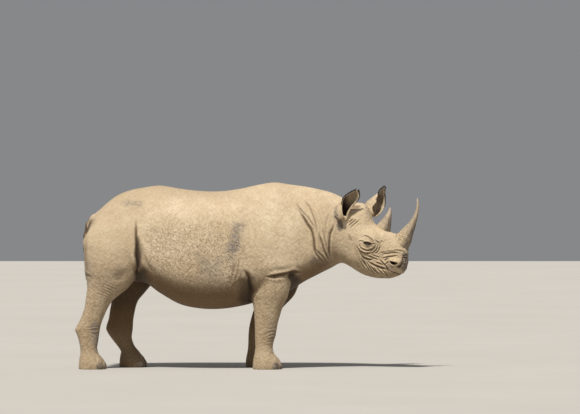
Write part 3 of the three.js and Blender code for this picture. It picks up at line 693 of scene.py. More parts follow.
# ---------------------------------------------------------------- folds and wrinkles
LATTICE = np.random.default_rng(7).uniform(-1, 1, (32, 32, 32))


def noise(p, scale):
    """Soft value noise between -1 and 1 over bumps of the given size."""
    q = p / scale
    i = np.floor(q).astype(np.int64)
    f = smooth(q - i)
    total = np.zeros(len(p))
    for corner in range(8):
        bits = np.array([corner & 1, corner >> 1 & 1, corner >> 2])
        weight = np.where(bits, f, 1 - f).prod(1)
        x, y, z = ((i + bits) % 32).T
        total += weight * LATTICE[x, y, z]
    return total


def flowing(line):
    """Points of a smooth curve through the points of a bent line."""
    p = np.array(line, float)
    p = np.concatenate([2 * p[:1] - p[1:2], p, 2 * p[-1:] - p[-2:-1]])
    t = np.arange(4)[:, None] / 4
    made = []
    for a, b, c, d in zip(p, p[1:], p[2:], p[3:]):
        turning = 2 * a - 5 * b + 4 * c - d + t * (3 * (b - c) + d - a)
        made.append(b + 0.5 * t * (c - a + t * turning))
    return np.concatenate(made + [p[-2:-1]])


def along_line(x, y, line):
    """Distance to a bent line, signed by the side, and the share of its length passed."""
    lengths = np.hypot(*np.diff(line, axis=0).T)
    best = np.full(len(x), 1e9)
    side = np.ones(len(x))
    share = np.zeros(len(x))
    for k, (a, b) in enumerate(zip(line, line[1:])):
        dx, dy = b - a
        t = ((x - a[0]) * dx + (y - a[1]) * dy) / lengths[k] ** 2
        t = np.clip(t, 0, 1)
        ox = x - a[0] - t * dx
        oy = y - a[1] - t * dy
        d = np.hypot(ox, oy)
        nearer = d < best
        best = np.where(nearer, d, best)
        side = np.where(nearer, np.sign(dx * oy - dy * ox), side)
        share = np.where(nearer, (lengths[:k].sum() + t * lengths[k]) / lengths.sum(), share)
    return best * side, share


def crease(x, y, line, depth, width, lip=0.0, ends=0.25):
    """Shift and shade of a sharp fold along a bent line, thin at its ends, with a roll of hide on each
    side, the higher one on its left, or on its right where lip is less than zero."""
    s, share = along_line(x, y, flowing(line))
    fade = smooth(share / ends) * smooth((1 - share) / ends)
    wide = width * (0.5 + 0.5 * fade)
    near = np.abs(s) / wide
    dent = np.exp(-(np.where(s * lip > 0, 1.3 * near, 0.8 * near) ** 1.4))
    toward = s * np.sign(lip)
    roll = hill(toward, 2.1 * wide, 1.5 * wide) + 0.5 * hill(toward, -2.7 * wide, 1.6 * wide)
    dark = np.exp(-((1.1 * near) ** 2))
    return fade * (abs(lip) * roll - depth * dent), np.sqrt(fade) * dark


# Creases where the hind legs leave the flanks, and the longest one of the neck, in x and z.
RIGHT_FLANK = [(-930, 1262), (-926, 1180), (-920, 1080), (-915, 985), (-915, 900), (-924, 815), (-942, 730)]
LEFT_FLANK = [(-945, 1262), (-938, 1170), (-922, 1075), (-892, 985), (-850, 900), (-815, 815), (-802, 735)]
NECK = [(420, 1352), (458, 1290), (500, 1222), (540, 1160)]
NECK += [(560, 1090), (566, 1020), (584, 955), (618, 895)]
# Folds of the trunk, neck and legs in the side view: line in x and z, depth, width, lip, side (0 is both).
BODY_FOLDS = [
    (RIGHT_FLANK, 22, 10, -7, -1),
    (LEFT_FLANK, 22, 10, -7, 1),
    ([(-30, 845), (8, 775), (26, 715), (34, 650), (32, 590), (44, 535)], 17, 15, -6, -1),
    ([(-10, 845), (30, 775), (62, 715), (78, 650), (84, 590), (90, 535)], 17, 15, -6, 1),
    ([(-885, 1085), (-868, 985), (-838, 900), (-800, 835), (-764, 795)], 4, 16, 3, -1),
    ([(-96, 912), (-112, 835), (-132, 750), (-160, 680)], 5, 12, 3, 0),
    ([(-62, 925), (-78, 860), (-84, 790), (-110, 720)], 4.5, 10, 3, 0),
    ([(150, 778), (200, 778), (262, 784), (320, 794), (385, 812), (452, 806)], 18, 12, 12, -1),
    ([(190, 792), (250, 792), (322, 800), (390, 812), (452, 806)], 16, 12, 11, 1),
    (NECK, 17, 10, 7, 0),
    ([(400, 1392), (455, 1325), (512, 1260), (548, 1210), (566, 1160)], 7, 7, 3, 0),
    ([(470, 1420), (520, 1350), (560, 1262), (578, 1180), (584, 1110)], 6, 7, 3, 0),
    ([(590, 1150), (612, 1080), (640, 1010), (662, 950), (684, 890)], 9, 8, 4, 0),
    ([(628, 1190), (640, 1110), (658, 1040), (676, 980)], 6, 7, 3, 0),
    ([(735, 1240), (712, 1180), (694, 1110), (686, 1040), (692, 965), (690, 890)], 14, 9, 6, 0),
    ([(700, 1330), (668, 1250), (655, 1170), (662, 1090)], 4, 7, 2, 0),
    ([(560, 1020), (600, 975), (640, 930), (672, 880)], 5, 6, 2, 0),
    ([(-1410, 816), (-1365, 798), (-1325, 778), (-1296, 768)], 5, 9, 3, -1),
    ([(-1380, 808), (-1330, 790), (-1280, 776), (-1240, 772)], 6, 9, 3, 1),
]
# Broad forms the solids leave out: centre x, |y|, z, reach along each, height, side.
BODY_FORMS = [
    (-1130, 330, 930, 170, 160, 190, 10, 0),
    (-925, 250, 1400, 70, 90, 50, 10, 0),
    (-1010, 300, 1290, 110, 120, 80, -7, 0),
    (270, 360, 1010, 170, 150, 210, 10, 0),
    (300, 330, 868, 130, 130, 46, 13, 0),
    (60, 330, 740, 70, 120, 130, -15, 0),
    (-46, 330, 690, 56, 120, 100, -20, 0),
    (-1052, 330, 790, 60, 120, 44, -12, -1),
    (-1010, 330, 800, 60, 120, 44, -12, 1),
    (-10, 360, 1120, 90, 120, 240, -7, 0),
    (500, 270, 1100, 60, 140, 160, -8, 0),
    (-1262, 190, 450, 44, 110, 95, -7, -1),
    (-1038, 190, 450, 44, 110, 95, -7, 1),
    (180, 290, 640, 120, 90, 90, 6, -1),
]
# Bands of fine wrinkles across joints: centre, reach, way across the wrinkles, spacing, height.
WRINKLE_BANDS = [
    ((-1285, -255, 328), (72, 100, 62), (0.12, 0, 1), 24, 7.0),
    ((-1035, 255, 330), (72, 100, 62), (0.12, 0, 1), 24, 6.0),
    ((178, -268, 288), (84, 110, 76), (-0.2, 0, 1), 27, 6.5),
    ((112, 268, 280), (84, 110, 76), (-0.2, 0, 1), 27, 6.5),
    ((-1160, -330, 665), (86, 120, 88), (0.45, 0, 0.9), 23, 4.0),
    ((-1010, 330, 665), (86, 120, 88), (0.45, 0, 0.9), 23, 4.0),
    ((-1330, -190, 700), (60, 140, 110), (0.2, 0, 1), 24, 1.6),
    ((-1320, -190, 150), (110, 120, 40), (0, 0, 1), 15, 1.8),
    ((-995, 190, 150), (110, 120, 40), (0, 0, 1), 15, 1.8),
    ((100, -310, 690), (100, 120, 90), (0.6, 0, 0.8), 20, 1.6),
    ((640, -60, 905), (90, 230, 60), (0.9, 0, -0.4), 24, 2.4),
    ((640, -60, 1180), (130, 400, 240), (0.97, 0, 0.25), 30, 1.3),
    ((-20, 0, 1050), (560, 600, 320), (0.86, 0, 0.5), 62, 1.2),
]


def body_details(p, n):
    """Shift along the normal and shade of the folds, forms and wrinkles of trunk, neck and legs."""
    x, y, z = p.T
    on_body = x < BODY_END
    out = np.abs(y - np.interp(x, [480, 960], [0, -125]))
    warp = np.stack([noise(p, 70), noise(p + 900, 70), noise(p - 700, 70)], 1)
    shift = np.zeros(len(p))
    shade = np.zeros(len(p))
    sideways = ramp(np.abs(n[:, 1]), 0.08, 0.38)
    wx = x + 7 * warp[:, 0]
    wz = z + 7 * warp[:, 1]
    for line, depth, width, lip, side in BODY_FOLDS:
        low = np.min(line, 0) - 90
        high = np.max(line, 0) + 90
        inside = (x > low[0]) & (x < high[0]) & (z > low[1]) & (z < high[1])
        i = np.flatnonzero(inside & (y * side >= 0) & on_body)
        moved, dark = crease(wx[i], wz[i], line, depth, width, lip)
        shift[i] += moved * sideways[i]
        shade[i] = np.maximum(shade[i], dark * sideways[i] * min(1, depth / 10))
    for cx, cy, cz, rx, ry, rz, height, side in BODY_FORMS:
        fall = np.exp(-(((x - cx) / rx) ** 2) - ((out - cy) / ry) ** 2 - ((z - cz) / rz) ** 2)
        shift += height * fall * (y * side >= 0)
    for centre, reach, way, spacing, height in WRINKLE_BANDS:
        q = (p - centre) / reach
        fall = np.exp(-((q**2).sum(1)) * 1.1)
        i = np.flatnonzero((fall > 0.02) & on_body)
        phase = (p[i] @ unit(way) + spacing * 0.9 * warp[i, 2]) * 2 * np.pi / spacing
        wave = np.abs(np.sin(phase / 2)) ** 0.7
        shift[i] += height * fall[i] * (wave - 0.6)
        shade[i] = np.maximum(shade[i], fall[i] * (1 - wave) ** 1.5 * min(1, height / 4))
    return shift + toes(p), shade


def toes(p):
    """Three swellings round the front of each foot, over the nails, with grooves between them."""
    shift = np.zeros(len(p))
    for rows, side in LEG_ROWS.values():
        x, length, y, width = look_up(rows, np.array([FOOT_LEVEL]))[:, 0]
        i = near_box(p, (x - 200, y * side - 180, -1), (x + 200, y * side + 180, 150))
        around = np.abs(np.arctan2((p[i, 1] - y * side) / width, (p[i, 0] - x) / length))
        swell = np.cos(around * 2 * np.pi / NAIL_TURNS[2]) * ramp(around, 1.4, 1.1)
        shift[i] += 6 * swell * smooth(p[i, 2] / 26) * ramp(p[i, 2], 125, 65)
    return shift


# Folds round the eye: parts of rings about one centre. Reach forward and up, first and last angle,
# depth, width, lip on the left of the way from the first to the last.
RING_CENTRE = (30, 28)
EYE_RINGS = [
    (66, 50, 165, 30, 6, 4.5, 2.5),
    (50, 38, 110, 35, 4, 4, 2),
    (66, 64, -148, 25, 7.5, 4.5, 4),
    (90, 90, -136, -22, 10, 5.2, 5),
    (76, 76, -42, 28, 6.5, 4.5, 3.5),
    (94, 94, -32, 26, 7.5, 4.5, 3.5),
    (112, 112, -20, 28, 6, 4.5, 3),
]
# Folds of the head as bows: start, end, swing of the middle to the left, depth, width, lip.
EYE_BOWS = [
    (-30, -10, 15, 20, 8, 5.5, 4, 2.5),
    (65, 40, 95, 65, 0, 5.5, 4, 2.5),
    (75, 95, 120, 90, -5, 6.5, 4.5, 3),
    (105, 115, 130, 105, 0, 4.5, 4.5, 2),
    (-10, -75, 100, -60, -5, 4.5, 4.5, 3),
]
CHEEK_BOWS = [
    (15, -70, 160, -45, -30, 12, 6, 6),
    (100, -95, 305, -50, -12, 12, 6, 6),
    (185, -25, 315, -45, 0, 10, 5.5, 5),
    (85, -60, 190, -30, -2, 7, 5, 3.5),
    (175, -65, 255, -40, 0, 7.5, 5, 4),
    (120, -30, 190, -5, -3, 6, 4.5, 3),
]
NOSE_BOWS = [
    (230, -12, 255, 40, 4, 6.5, 5, 3),
    (335, 105, 370, 55, 0, 6.5, 5, 2.5),
    (365, 57, 400, 83, 0, 6, 5, 2.5),
    (385, 45, 407, 75, 0, 5.5, 5, 2),
    (255, -42, 276, 13, 5, 8, 5, -3.5),
    (350, 76, 346, 8, 16, 9, 6.5, 3.5),
]
JAW_BOWS = [
    (58, -100, 126, -137, -2, 6, 5, 3.5),
    (255, -80, 332, -107, 4, 6.5, 5, 3),
    (40, -112, 150, -172, -6, 4, 5.5, 2.5),
    (250, -148, 326, -124, -6, 3.5, 5.5, 1),
]
EAR_BOWS = [
    (-286, 5, -256, 75, 0, 10, 6.5, 3.5),
    (-305, -90, -303, 20, 2, 5.5, 5.5, 2.5),
    (-132, 4, -66, -41, -8, 3, 12, 1.5),
]
# Rows of folds side by side: first bow, last bow, how many.
BOW_ROWS = [
    ((160, 20, 215, 72, 2, 5, 4.5, 2.5), (228, 100, 322, 156, 3, 5, 5.5, 2.5), 3),
    ((174, 12, 300, 128, 5, 7.5, 5, 3.5), (194, -16, 302, 98, 4, 7, 5, 3.5), 2),
    ((80, -95, 225, -160, -16, 9, 5, 5), (150, -107, 260, -135, -7, 7.5, 4.5, 4), 3),
    ((185, -107, 282, -124, -8, 7.5, 4.5, 4), (200, -90, 305, -107, -5, 8, 5, 4), 2),
    ((314, 112, 360, 147, 0, 6.5, 5, 2.5), (324, 100, 370, 128, 0, 6.5, 5, 2.5), 2),
    ((-220, 35, -206, 113, 0, 7, 5, 3.5), (-158, 35, -138, 150, 0, 5, 5.5, 2.5), 4),
]


def ring_fold(ahead, high, first, last, *form):
    angles = np.radians(np.linspace(first, last, 7))
    spokes = np.stack([ahead * np.cos(angles), high * np.sin(angles)], 1)
    return RING_CENTRE + spokes, form


def bow_fold(start_a, start_u, end_a, end_u, swing, *form):
    """Fold along an arc between two points."""
    share = np.linspace(0, 1, 5)[:, None]
    start = np.array([start_a, start_u], float)
    way = np.array([end_a, end_u]) - start
    left = unit((-way[1], way[0]))
    return start + share * way + 4 * share * (1 - share) * swing * left, form


def row_folds(first, last, count):
    """Folds spread evenly from a first bow to a last one."""
    share = np.linspace(0, 1, count)[:, None]
    return [bow_fold(*bow) for bow in (1 - share) * np.array(first) + share * np.array(last)]


HEAD_FOLDS = [ring_fold(*ring) for ring in EYE_RINGS]
HEAD_FOLDS += [bow_fold(*bow) for bow in EYE_BOWS + CHEEK_BOWS + NOSE_BOWS + JAW_BOWS + EAR_BOWS]
for row in BOW_ROWS:
    HEAD_FOLDS += row_folds(*row)
# Hollows and swellings of the head: centre, reach and height.
HEAD_SWELLS = [
    (-70, 96, 110, 70, 60, 60, -6),
    (120, 110, 96, 60, 40, 50, -6),
    (110, -20, 128, 50, 40, 60, -5),
    (-235, -5, 120, 34, 44, 60, -9),
    (180, -130, 96, 60, 44, 60, 4),
    (-30, -150, 110, 90, 60, 60, 4),
    (330, -70, 60, 50, 30, 60, 5),
]


def head_details(p, n):
    """Shift along the normal and shade of the folds, forms and grain of the head."""
    a, o, up = to_head(p)
    out = np.abs(o)
    n_out = np.abs(n @ HEAD_AXES[:, 1])
    sideways = ramp(n_out, 0.1, 0.45)
    warp_a = 3.5 * noise(p + 100, 26)
    warp_u = 3.5 * noise(p - 300, 26)
    shift = np.zeros(len(p))
    shade = np.zeros(len(p))
    fa = a + 0.6 * warp_a
    fu = up + 0.6 * warp_u
    for line, (depth, width, lip) in HEAD_FOLDS:
        low = np.min(line, 0) - 40
        high = np.max(line, 0) + 40
        i = np.flatnonzero((fa > low[0]) & (fa < high[0]) & (fu > low[1]) & (fu < high[1]))
        moved, dark = crease(fa[i], fu[i], line, depth, width, lip, 0.3)
        shift[i] += moved * sideways[i]
        shade[i] = np.maximum(shade[i], dark * sideways[i] * min(1, depth / 7))
    for ca, cu, co, ra, ru, ro, height in HEAD_SWELLS:
        away = ((a - ca) / ra) ** 2 + ((up - cu) / ru) ** 2 + ((out - co) / ro) ** 2
        shift += height * np.exp(-away)
    nose = ramp(a, 330, 370) * ramp(up, -10, 20)
    rough = noise(p, 9) + 0.6 * noise(p, 17)
    shift += nose * 2.2 * rough
    return shift, shade


def ear_nearness(p):
    """1 on and beside the ears, 0 away from them."""
    d = np.minimum(ear_field(p, EARS[0])[0], ear_field(p, EARS[1])[0])
    return ramp(d, 26, 12)


def add_details(p, n):
    """Shift along the normal and darkness of the folds at every point of the skin."""
    shift, shade = body_details(p, n)
    i = np.flatnonzero(p[:, 0] > HEAD_START)
    moved, dark = head_details(p[i], n[i])
    head = ramp(p[i, 0], 700, 790)
    away = 1 - ear_nearness(p[i])
    shift[i] = shift[i] * (1 - head) + moved * head * away
    shade[i] = shade[i] * (1 - head) + dark * head * away
    return shift * ramp(p[:, 2], 20, 80), shade


def normals(mesh):
    n = np.empty(len(mesh.vertices) * 3)
    mesh.vertices.foreach_get("normal", n)
    return n.reshape(-1, 3)


def store(mesh, name, values):
    layer = mesh.attributes.new(name, "FLOAT", "POINT")
    layer.data.foreach_set("value", values.astype(np.float32))


def make_skin():
    mesh = skin_base()
    p = positions(mesh)
    edges = edge_ends(mesh)
    p = relax(p, edges, 3)
    p = settle(p)
    p = relax(p, edges, 1, 0.35)
    mesh.vertices.foreach_set("co", p.ravel())
    mesh.update()
    n = normals(mesh)
    shift, shade = add_details(p, n)
    p = p + n * shift[:, None]
    p[:, 2] = np.maximum(p[:, 2], 0)
    mesh.vertices.foreach_set("co", (p * MM).ravel())
    mesh.update()
    mesh.shade_smooth()
    store(mesh, "fold", shade)
    mark_skin(mesh, p)
    piece = bpy.data.objects.new("skin", mesh)
    bpy.context.collection.objects.link(piece)
    return piece


# ---------------------------------------------------------------- colour of the hide
# Patches where the dust is worn off, in the side view: x, z, reach along each, lean, strength, side.
BARE_PATCHES = [
    (-100, 1075, 50, 140, -0.25, 1.0, -1),
    (-300, 840, 110, 130, 0.3, 0.55, -1),
    (-960, 1385, 110, 30, 0.25, 0.6, -1),
    (-1060, 782, 40, 30, 0.0, 0.55, -1),
    (597, 885, 66, 50, 0.0, 0.9, 0),
    (-1262, 275, 42, 115, 0.1, 1.0, -1),
    (-960, 300, 40, 130, 0.3, 0.7, 1),
    (-1330, 830, 40, 120, 0.0, 0.45, 0),
    (215, 300, 30, 120, 0.1, 0.5, -1),
    (150, 300, 40, 120, 0.1, 0.5, 1),
    (-160, 1010, 90, 110, 0.4, 0.75, 1),
    (-620, 860, 120, 70, -0.3, 0.45, 1),
    (-1010, 1370, 90, 36, 0.2, 0.55, 1),
    (330, 1210, 80, 60, 0.4, 0.35, 1),
]
# Painted shade, in the same way: near-black in the pits beside the legs, and soft painted shades on legs
# and neck.
PITS = [
    (-862, 715, 80, 130, 0.3, 1.7, -1),
    (-905, 930, 26, 150, 0.05, 1.0, -1),
    (-838, 735, 70, 120, 0.2, 1.3, 1),
    (-20, 655, 74, 130, 0.1, 1.6, -1),
    (42, 660, 66, 130, 0.1, 1.2, 1),
    (402, 695, 56, 112, 0.1, 1.3, 0),
]
SHADES = [
    (-90, 690, 90, 100, -0.3, 0.5, -1),
    (615, 880, 80, 60, -0.3, 0.75, 0),
    (740, 925, 60, 120, 0.1, 0.7, 0),
    (-1052, 786, 60, 34, -0.3, 0.45, -1),
    (-1010, 786, 60, 34, -0.3, 0.45, 1),
    (-1345, 930, 20, 200, 0.0, 0.5, 0),
]
# How far from the skin other hide shades it.
SHADE_REACH = 90.0


def patches(p, table, soft=1.0):
    """Share of a table's patches at every point, ragged at the edge and softer there with soft."""
    x, y, z = p.T
    share = np.zeros(len(p))
    for cx, cz, rx, rz, lean, strength, side in table:
        dx = (x - cx + lean * (z - cz)) / rx
        dz = (z - cz) / rz
        patch = strength * smooth((1.5 - np.hypot(dx, dz) - 0.45 * noise(p, 60)) / soft)
        share = np.maximum(share, patch * (y * side >= 0))
    return np.minimum(share, 1)


def spot(a, up, at_a, at_up, wide, high):
    """Soft oval on the side of the head, upright when the head is bent down."""
    level = 0.79 * (a - at_a) + 0.61 * (up - at_up)
    plumb = -0.61 * (a - at_a) + 0.79 * (up - at_up)
    return ramp(np.hypot(level / wide, plumb / high), 1.25, 0.75)


def shade_and_less_dust(p, n):
    """Share of painted shade on the belly and undersides, the legs' insides, enclosed places, pits and the
    cleft, where the undersides also carry less pale dust, and of the darkest painted shade."""
    x, y, z = p.T
    side = np.sign(y)
    # Painted shade on the insides of the legs, facing the other legs.
    inward = ramp(n[:, 1] * side, -0.05, -0.5) * ramp(z, 820, 700) * ramp(x, 560, 460)
    inward = inward * (0.72 + 0.28 * ramp(z, 200, 400))
    # Undersides: painted shade, and less pale dust.
    along_belly = np.interp(x, [-1100, -900, 600, 900], [0.2, 1, 1, 0.38])
    below = ramp(n[:, 2], -0.12, -0.72) * (z > 180) * along_belly
    # Painted shade where other hide lies close in front of the skin.
    closed = ramp(body_field(p + SHADE_REACH * n) / SHADE_REACH, 0.5, 0.0) * (z > 120)
    closed[x > HEAD_START] *= 1 - ear_nearness(p[x > HEAD_START])
    off_legs = np.full(len(p), 1e3)
    for rows, leg_side in LEG_ROWS.values():
        nearer = np.minimum(off_legs, leg_field(p, rows, leg_side))
        off_legs = np.where(y * leg_side > -60, nearer, off_legs)
    # Painted shade in the pits beside the legs and soft painted shades elsewhere.
    pits = patches(p, PITS, 1.2) * ramp(off_legs, -2, 12) * ramp(off_legs, 200, 40)
    shades = patches(p, SHADES, 1.5)
    # Painted shade in the cleft between the buttocks, on hide facing back.
    cleft = hill(y, 0, 120) * ramp(z, 1270, 1210) * ramp(z, 760, 880) * (x < -1250)
    behind = ramp(n[:, 0], -0.35, -0.85) * cleft
    share = np.maximum.reduce([inward, below, 0.8 * closed, pits, shades, behind])
    # The darkest painted shade: legs' insides, pits and cleft.
    darkest = np.maximum.reduce([0.62 * inward * ramp(z, 380, 580), 0.92 * pits, 0.7 * behind])
    return share, darkest


def head_marks(p):
    """Darkness of ear linings (dark hide and painted shade, the left one with a pale painted lit lobe),
    painted shade in nostrils, mouth line, round the eye slit and under the right ear; worn hide of nose and
    ears, the nose's front darker; brown of the lower lip and right ear lining.
    """
    a, o, up = to_head(p)
    out = np.abs(o)
    dark = np.zeros(len(p))
    worn = np.zeros(len(p))
    brown = np.zeros(len(p))
    for ear in EARS:
        h, u, d, past = ear_place(p, ear)
        seat, _, _, across = ear[0]
        c = ((p - seat) @ across) / 55
        # Ear linings: dark hide and painted shade in the hollow.
        lining = (d < -1) * (d > -80) * (h > 10) * (u < 1.02)
        if ear is EARS[0]:
            deep = 0.3 + 0.7 * smooth((0.52 - u - 0.35 * c) / 0.4)
        else:
            # Painted light: a pale lit lobe left in the left ear's lining.
            lobe = 0.97 * ramp(c, -0.1, 0.2) * ramp(u, 0.5, 0.38)
            deep = 0.6 * (1 - lobe) * ramp(u, 0.06, 0.14)
        dark = np.maximum(dark, lining * deep * ramp(past, -9, -17))
        brown = np.maximum(brown, 0.6 * lining * ramp(past, -11, -19) * (ear is EARS[0]))
        rim = ramp(past, -9, -2) * ramp(u, 0.5, 0.7) * (d > 1) * (d < 14) * (u < 1.06)
        dark = np.maximum(dark, 0.85 * rim)
        back = ramp(h, -25, 15) * ramp(h, 125, 75) * ramp(past, -30, -70)
        worn = np.maximum(worn, 0.85 * back * (d > -4) * (d < 30) * (ear is EARS[1]))
    na = (a - 310) * 0.92 + (up - 24) * 0.39
    nu = -(a - 310) * 0.39 + (up - 24) * 0.92
    hole = lump(na, nu, out - 84, (37, 14, 30))
    # Painted shade in the nostril.
    dark = np.maximum(dark, smooth(0.5 - hole / 7))
    line = mouth_line(a)
    # Painted shade along the mouth line.
    dark = np.maximum(dark, 0.8 * hill(up, line, 5) * ramp(a, 180, 210))
    lip = smooth((line - up) / 8) * smooth((a - 262 + 0.35 * (up - line)) / 40)
    brown = np.maximum(brown, 0.62 * lip)
    ea = a - EYE[0]
    eu = up - EYE[1]
    t, n = along_slit(ea, eu)
    # Painted shade of lids and lashes round the eye slit.
    slit = np.hypot(t / 36, n / 14.5)
    dark = np.maximum(dark, 0.95 * ramp(slit, 1.18, 0.88) * (out > 90))
    nose = ramp(a + 0.6 * up, 384, 400) * ramp(up, -2, 18) * ramp(up, 158, 134)
    worn = np.maximum(worn, nose)
    dark = np.maximum(dark, nose * (0.42 + 0.4 * noise(p, 15)))
    # Painted shadow under the right ear's base.
    dark = np.maximum(dark, 0.6 * spot(a, up, -232, 10, 22, 46) * (o > 60))
    worn = np.maximum(worn, 0.95 * spot(a, up, -232, 10, 30, 52) * (o > 60))
    worn = np.maximum(worn, 0.95 * spot(a, up, -318, 72, 27, 72) * (o > 40))
    worn = np.maximum(worn, 0.7 * spot(a, up, 298, -22, 30, 24))
    dark = np.maximum(dark, 0.5 * spot(a, up, 359, 26, 14, 16))
    return dark, worn, brown


def mark_skin(mesh, p):
    """Shares of worn hide, of dark hide and painted shade, of pebbled hide, and of painted shade with less
    dust, stored for the material.
    """
    worn = patches(p, BARE_PATCHES)
    shade_and_less_dust_share, dark = shade_and_less_dust(p, normals(mesh))
    i = np.flatnonzero(p[:, 0] > HEAD_START)
    head_dark, head_worn, head_brown = head_marks(p[i])
    dark[i] = np.maximum(dark[i], head_dark)
    worn[i] = np.maximum(worn[i], head_worn)
    shade_and_less_dust_share[i] = np.maximum(shade_and_less_dust_share[i], head_brown)
    x, _, z = p.T
    flank = ramp(x, -900, -780) * ramp(x, 70, -100) * ramp(z, 520, 640) * ramp(z, 1330, 1150)
    store(mesh, "worn", worn)
    store(mesh, "dark", dark)
    store(mesh, "pebbled", flank)
    store(mesh, "shade_and_less_dust", shade_and_less_dust_share)


# ---------------------------------------------------------------- building materials
class Shader:
    """A material made node by node; a link or a plain value goes into each named input."""

    def __init__(self, name):
        self.material = bpy.data.materials.new(name)
        self.material.use_nodes = True
        self.tree = self.material.node_tree
        self.main = self.tree.nodes["Principled BSDF"]

    def put(self, node, inputs):
        for key, value in inputs.items():
            socket = node.inputs[key]
            if isinstance(value, bpy.types.NodeSocket):
                self.tree.links.new(value, socket)
            else:
                socket.default_value = value
        return node

    def node(self, kind, inputs=None, **settings):
        node = self.tree.nodes.new("ShaderNode" + kind)
        for key, value in settings.items():
            setattr(node, key, value)
        return self.put(node, inputs or {})

    def place(self, scale=(1, 1, 1), lean=0.0):
        """Place in the object, turned about the way across and then stretched."""
        coord = self.node("TexCoord").outputs["Object"]
        turned = self.node("Mapping", {"Vector": coord, "Rotation": (0, lean, 0)}).outputs["Vector"]
        return self.node("Mapping", {"Vector": turned, "Scale": scale}).outputs["Vector"]

    def noise(self, scale, detail=4.0, rough=0.55, vector=None, warp=0.0):
        inputs = {"Vector": vector or self.place(), "Scale": scale, "Detail": detail, "Roughness": rough}
        return self.node("TexNoise", inputs | {"Distortion": warp}).outputs["Fac"]

    def mark(self, name):
        return self.node("Attribute", attribute_name=name).outputs["Fac"]

    def math(self, kind, a, b=0.0, clamp=False):
        return self.node("Math", {0: a, 1: b}, operation=kind, use_clamp=clamp).outputs[0]

    def span(self, value, low, high, to_low=0.0, to_high=1.0):
        inputs = {"Value": value, "From Min": low, "From Max": high, "To Min": to_low, "To Max": to_high}
        return self.node("MapRange", inputs, interpolation_type="SMOOTHSTEP").outputs["Result"]

    def mix(self, share, a, b, kind="MIX"):
        node = self.node("Mix", data_type="RGBA", blend_type=kind)
        self.put_at(node, 0, share)
        self.put_at(node, 6, a)
        self.put_at(node, 7, b)
        return node.outputs[2]

    def put_at(self, node, place, value):
        if isinstance(value, bpy.types.NodeSocket):
            self.tree.links.new(value, node.inputs[place])
        else:
            node.inputs[place].default_value = value

    def bump(self, height, strength, distance, under=None):
        inputs = {"Height": height, "Strength": strength, "Distance": distance}
        if under:
            inputs["Normal"] = under
        return self.node("Bump", inputs).outputs["Normal"]

    def finish(self, **inputs):
        self.put(self.main, {key.replace("_", " "): value for key, value in inputs.items()})
        return self.material


def rgb(r, g, b):
    return (r, g, b, 1.0)


# How many pebbles, short strokes and crossing lines of the hide lie in a metre along x, y and z.
PEBBLE_SIZE = (86, 86, 66)
STIPPLE_SIZE = (84, 56, 36)
HATCH_SIZE = (24, 45, 108)
HATCH_LEAN = 0.8
# Colours of the hide: dust, its blotches, the duller legs, rump and spine, lines in the dust, cracks
# between pebbles, bare hide, painted shade brown (with less dust) on undersides and insides, painted shade
# in folds, and near-black for painted shade in pits and for dark hide.
PALE_DUST = rgb(0.7, 0.575, 0.41)
TAN_DUST = rgb(0.57, 0.45, 0.3)
BLOTCH = rgb(0.5, 0.375, 0.235)
LEG_TAN = rgb(0.34, 0.26, 0.165)
RUMP_TAN = rgb(0.42, 0.325, 0.215)
SPINE_TAN = rgb(0.43, 0.325, 0.205)
LINE_BROWN = rgb(0.26, 0.18, 0.1)
# Cracks between pebbles: less dust and painted shade in the crevices.
CRACK_BROWN = rgb(0.26, 0.175, 0.1)
STROKE_BROWN = rgb(0.28, 0.19, 0.11)
BARE_DARK = rgb(0.11, 0.088, 0.076)
BARE_GREY = rgb(0.36, 0.305, 0.262)
# Painted shade on undersides, insides and enclosed places, which also carry less dust.
SHADE_AND_UNDUSTED_BROWN = rgb(0.132, 0.074, 0.03)
# Painted shade in folds and wrinkles.
FOLD_SHADE_BROWN = rgb(0.085, 0.048, 0.024)
# Painted shade in pits, nostrils, mouth, round the eye and in ear linings, and dark hide of ear rims.
DARK_HIDE_AND_SHADE_BLACK = rgb(0.022, 0.012, 0.006)
GRAIN_BROWN = rgb(0.3, 0.215, 0.13)


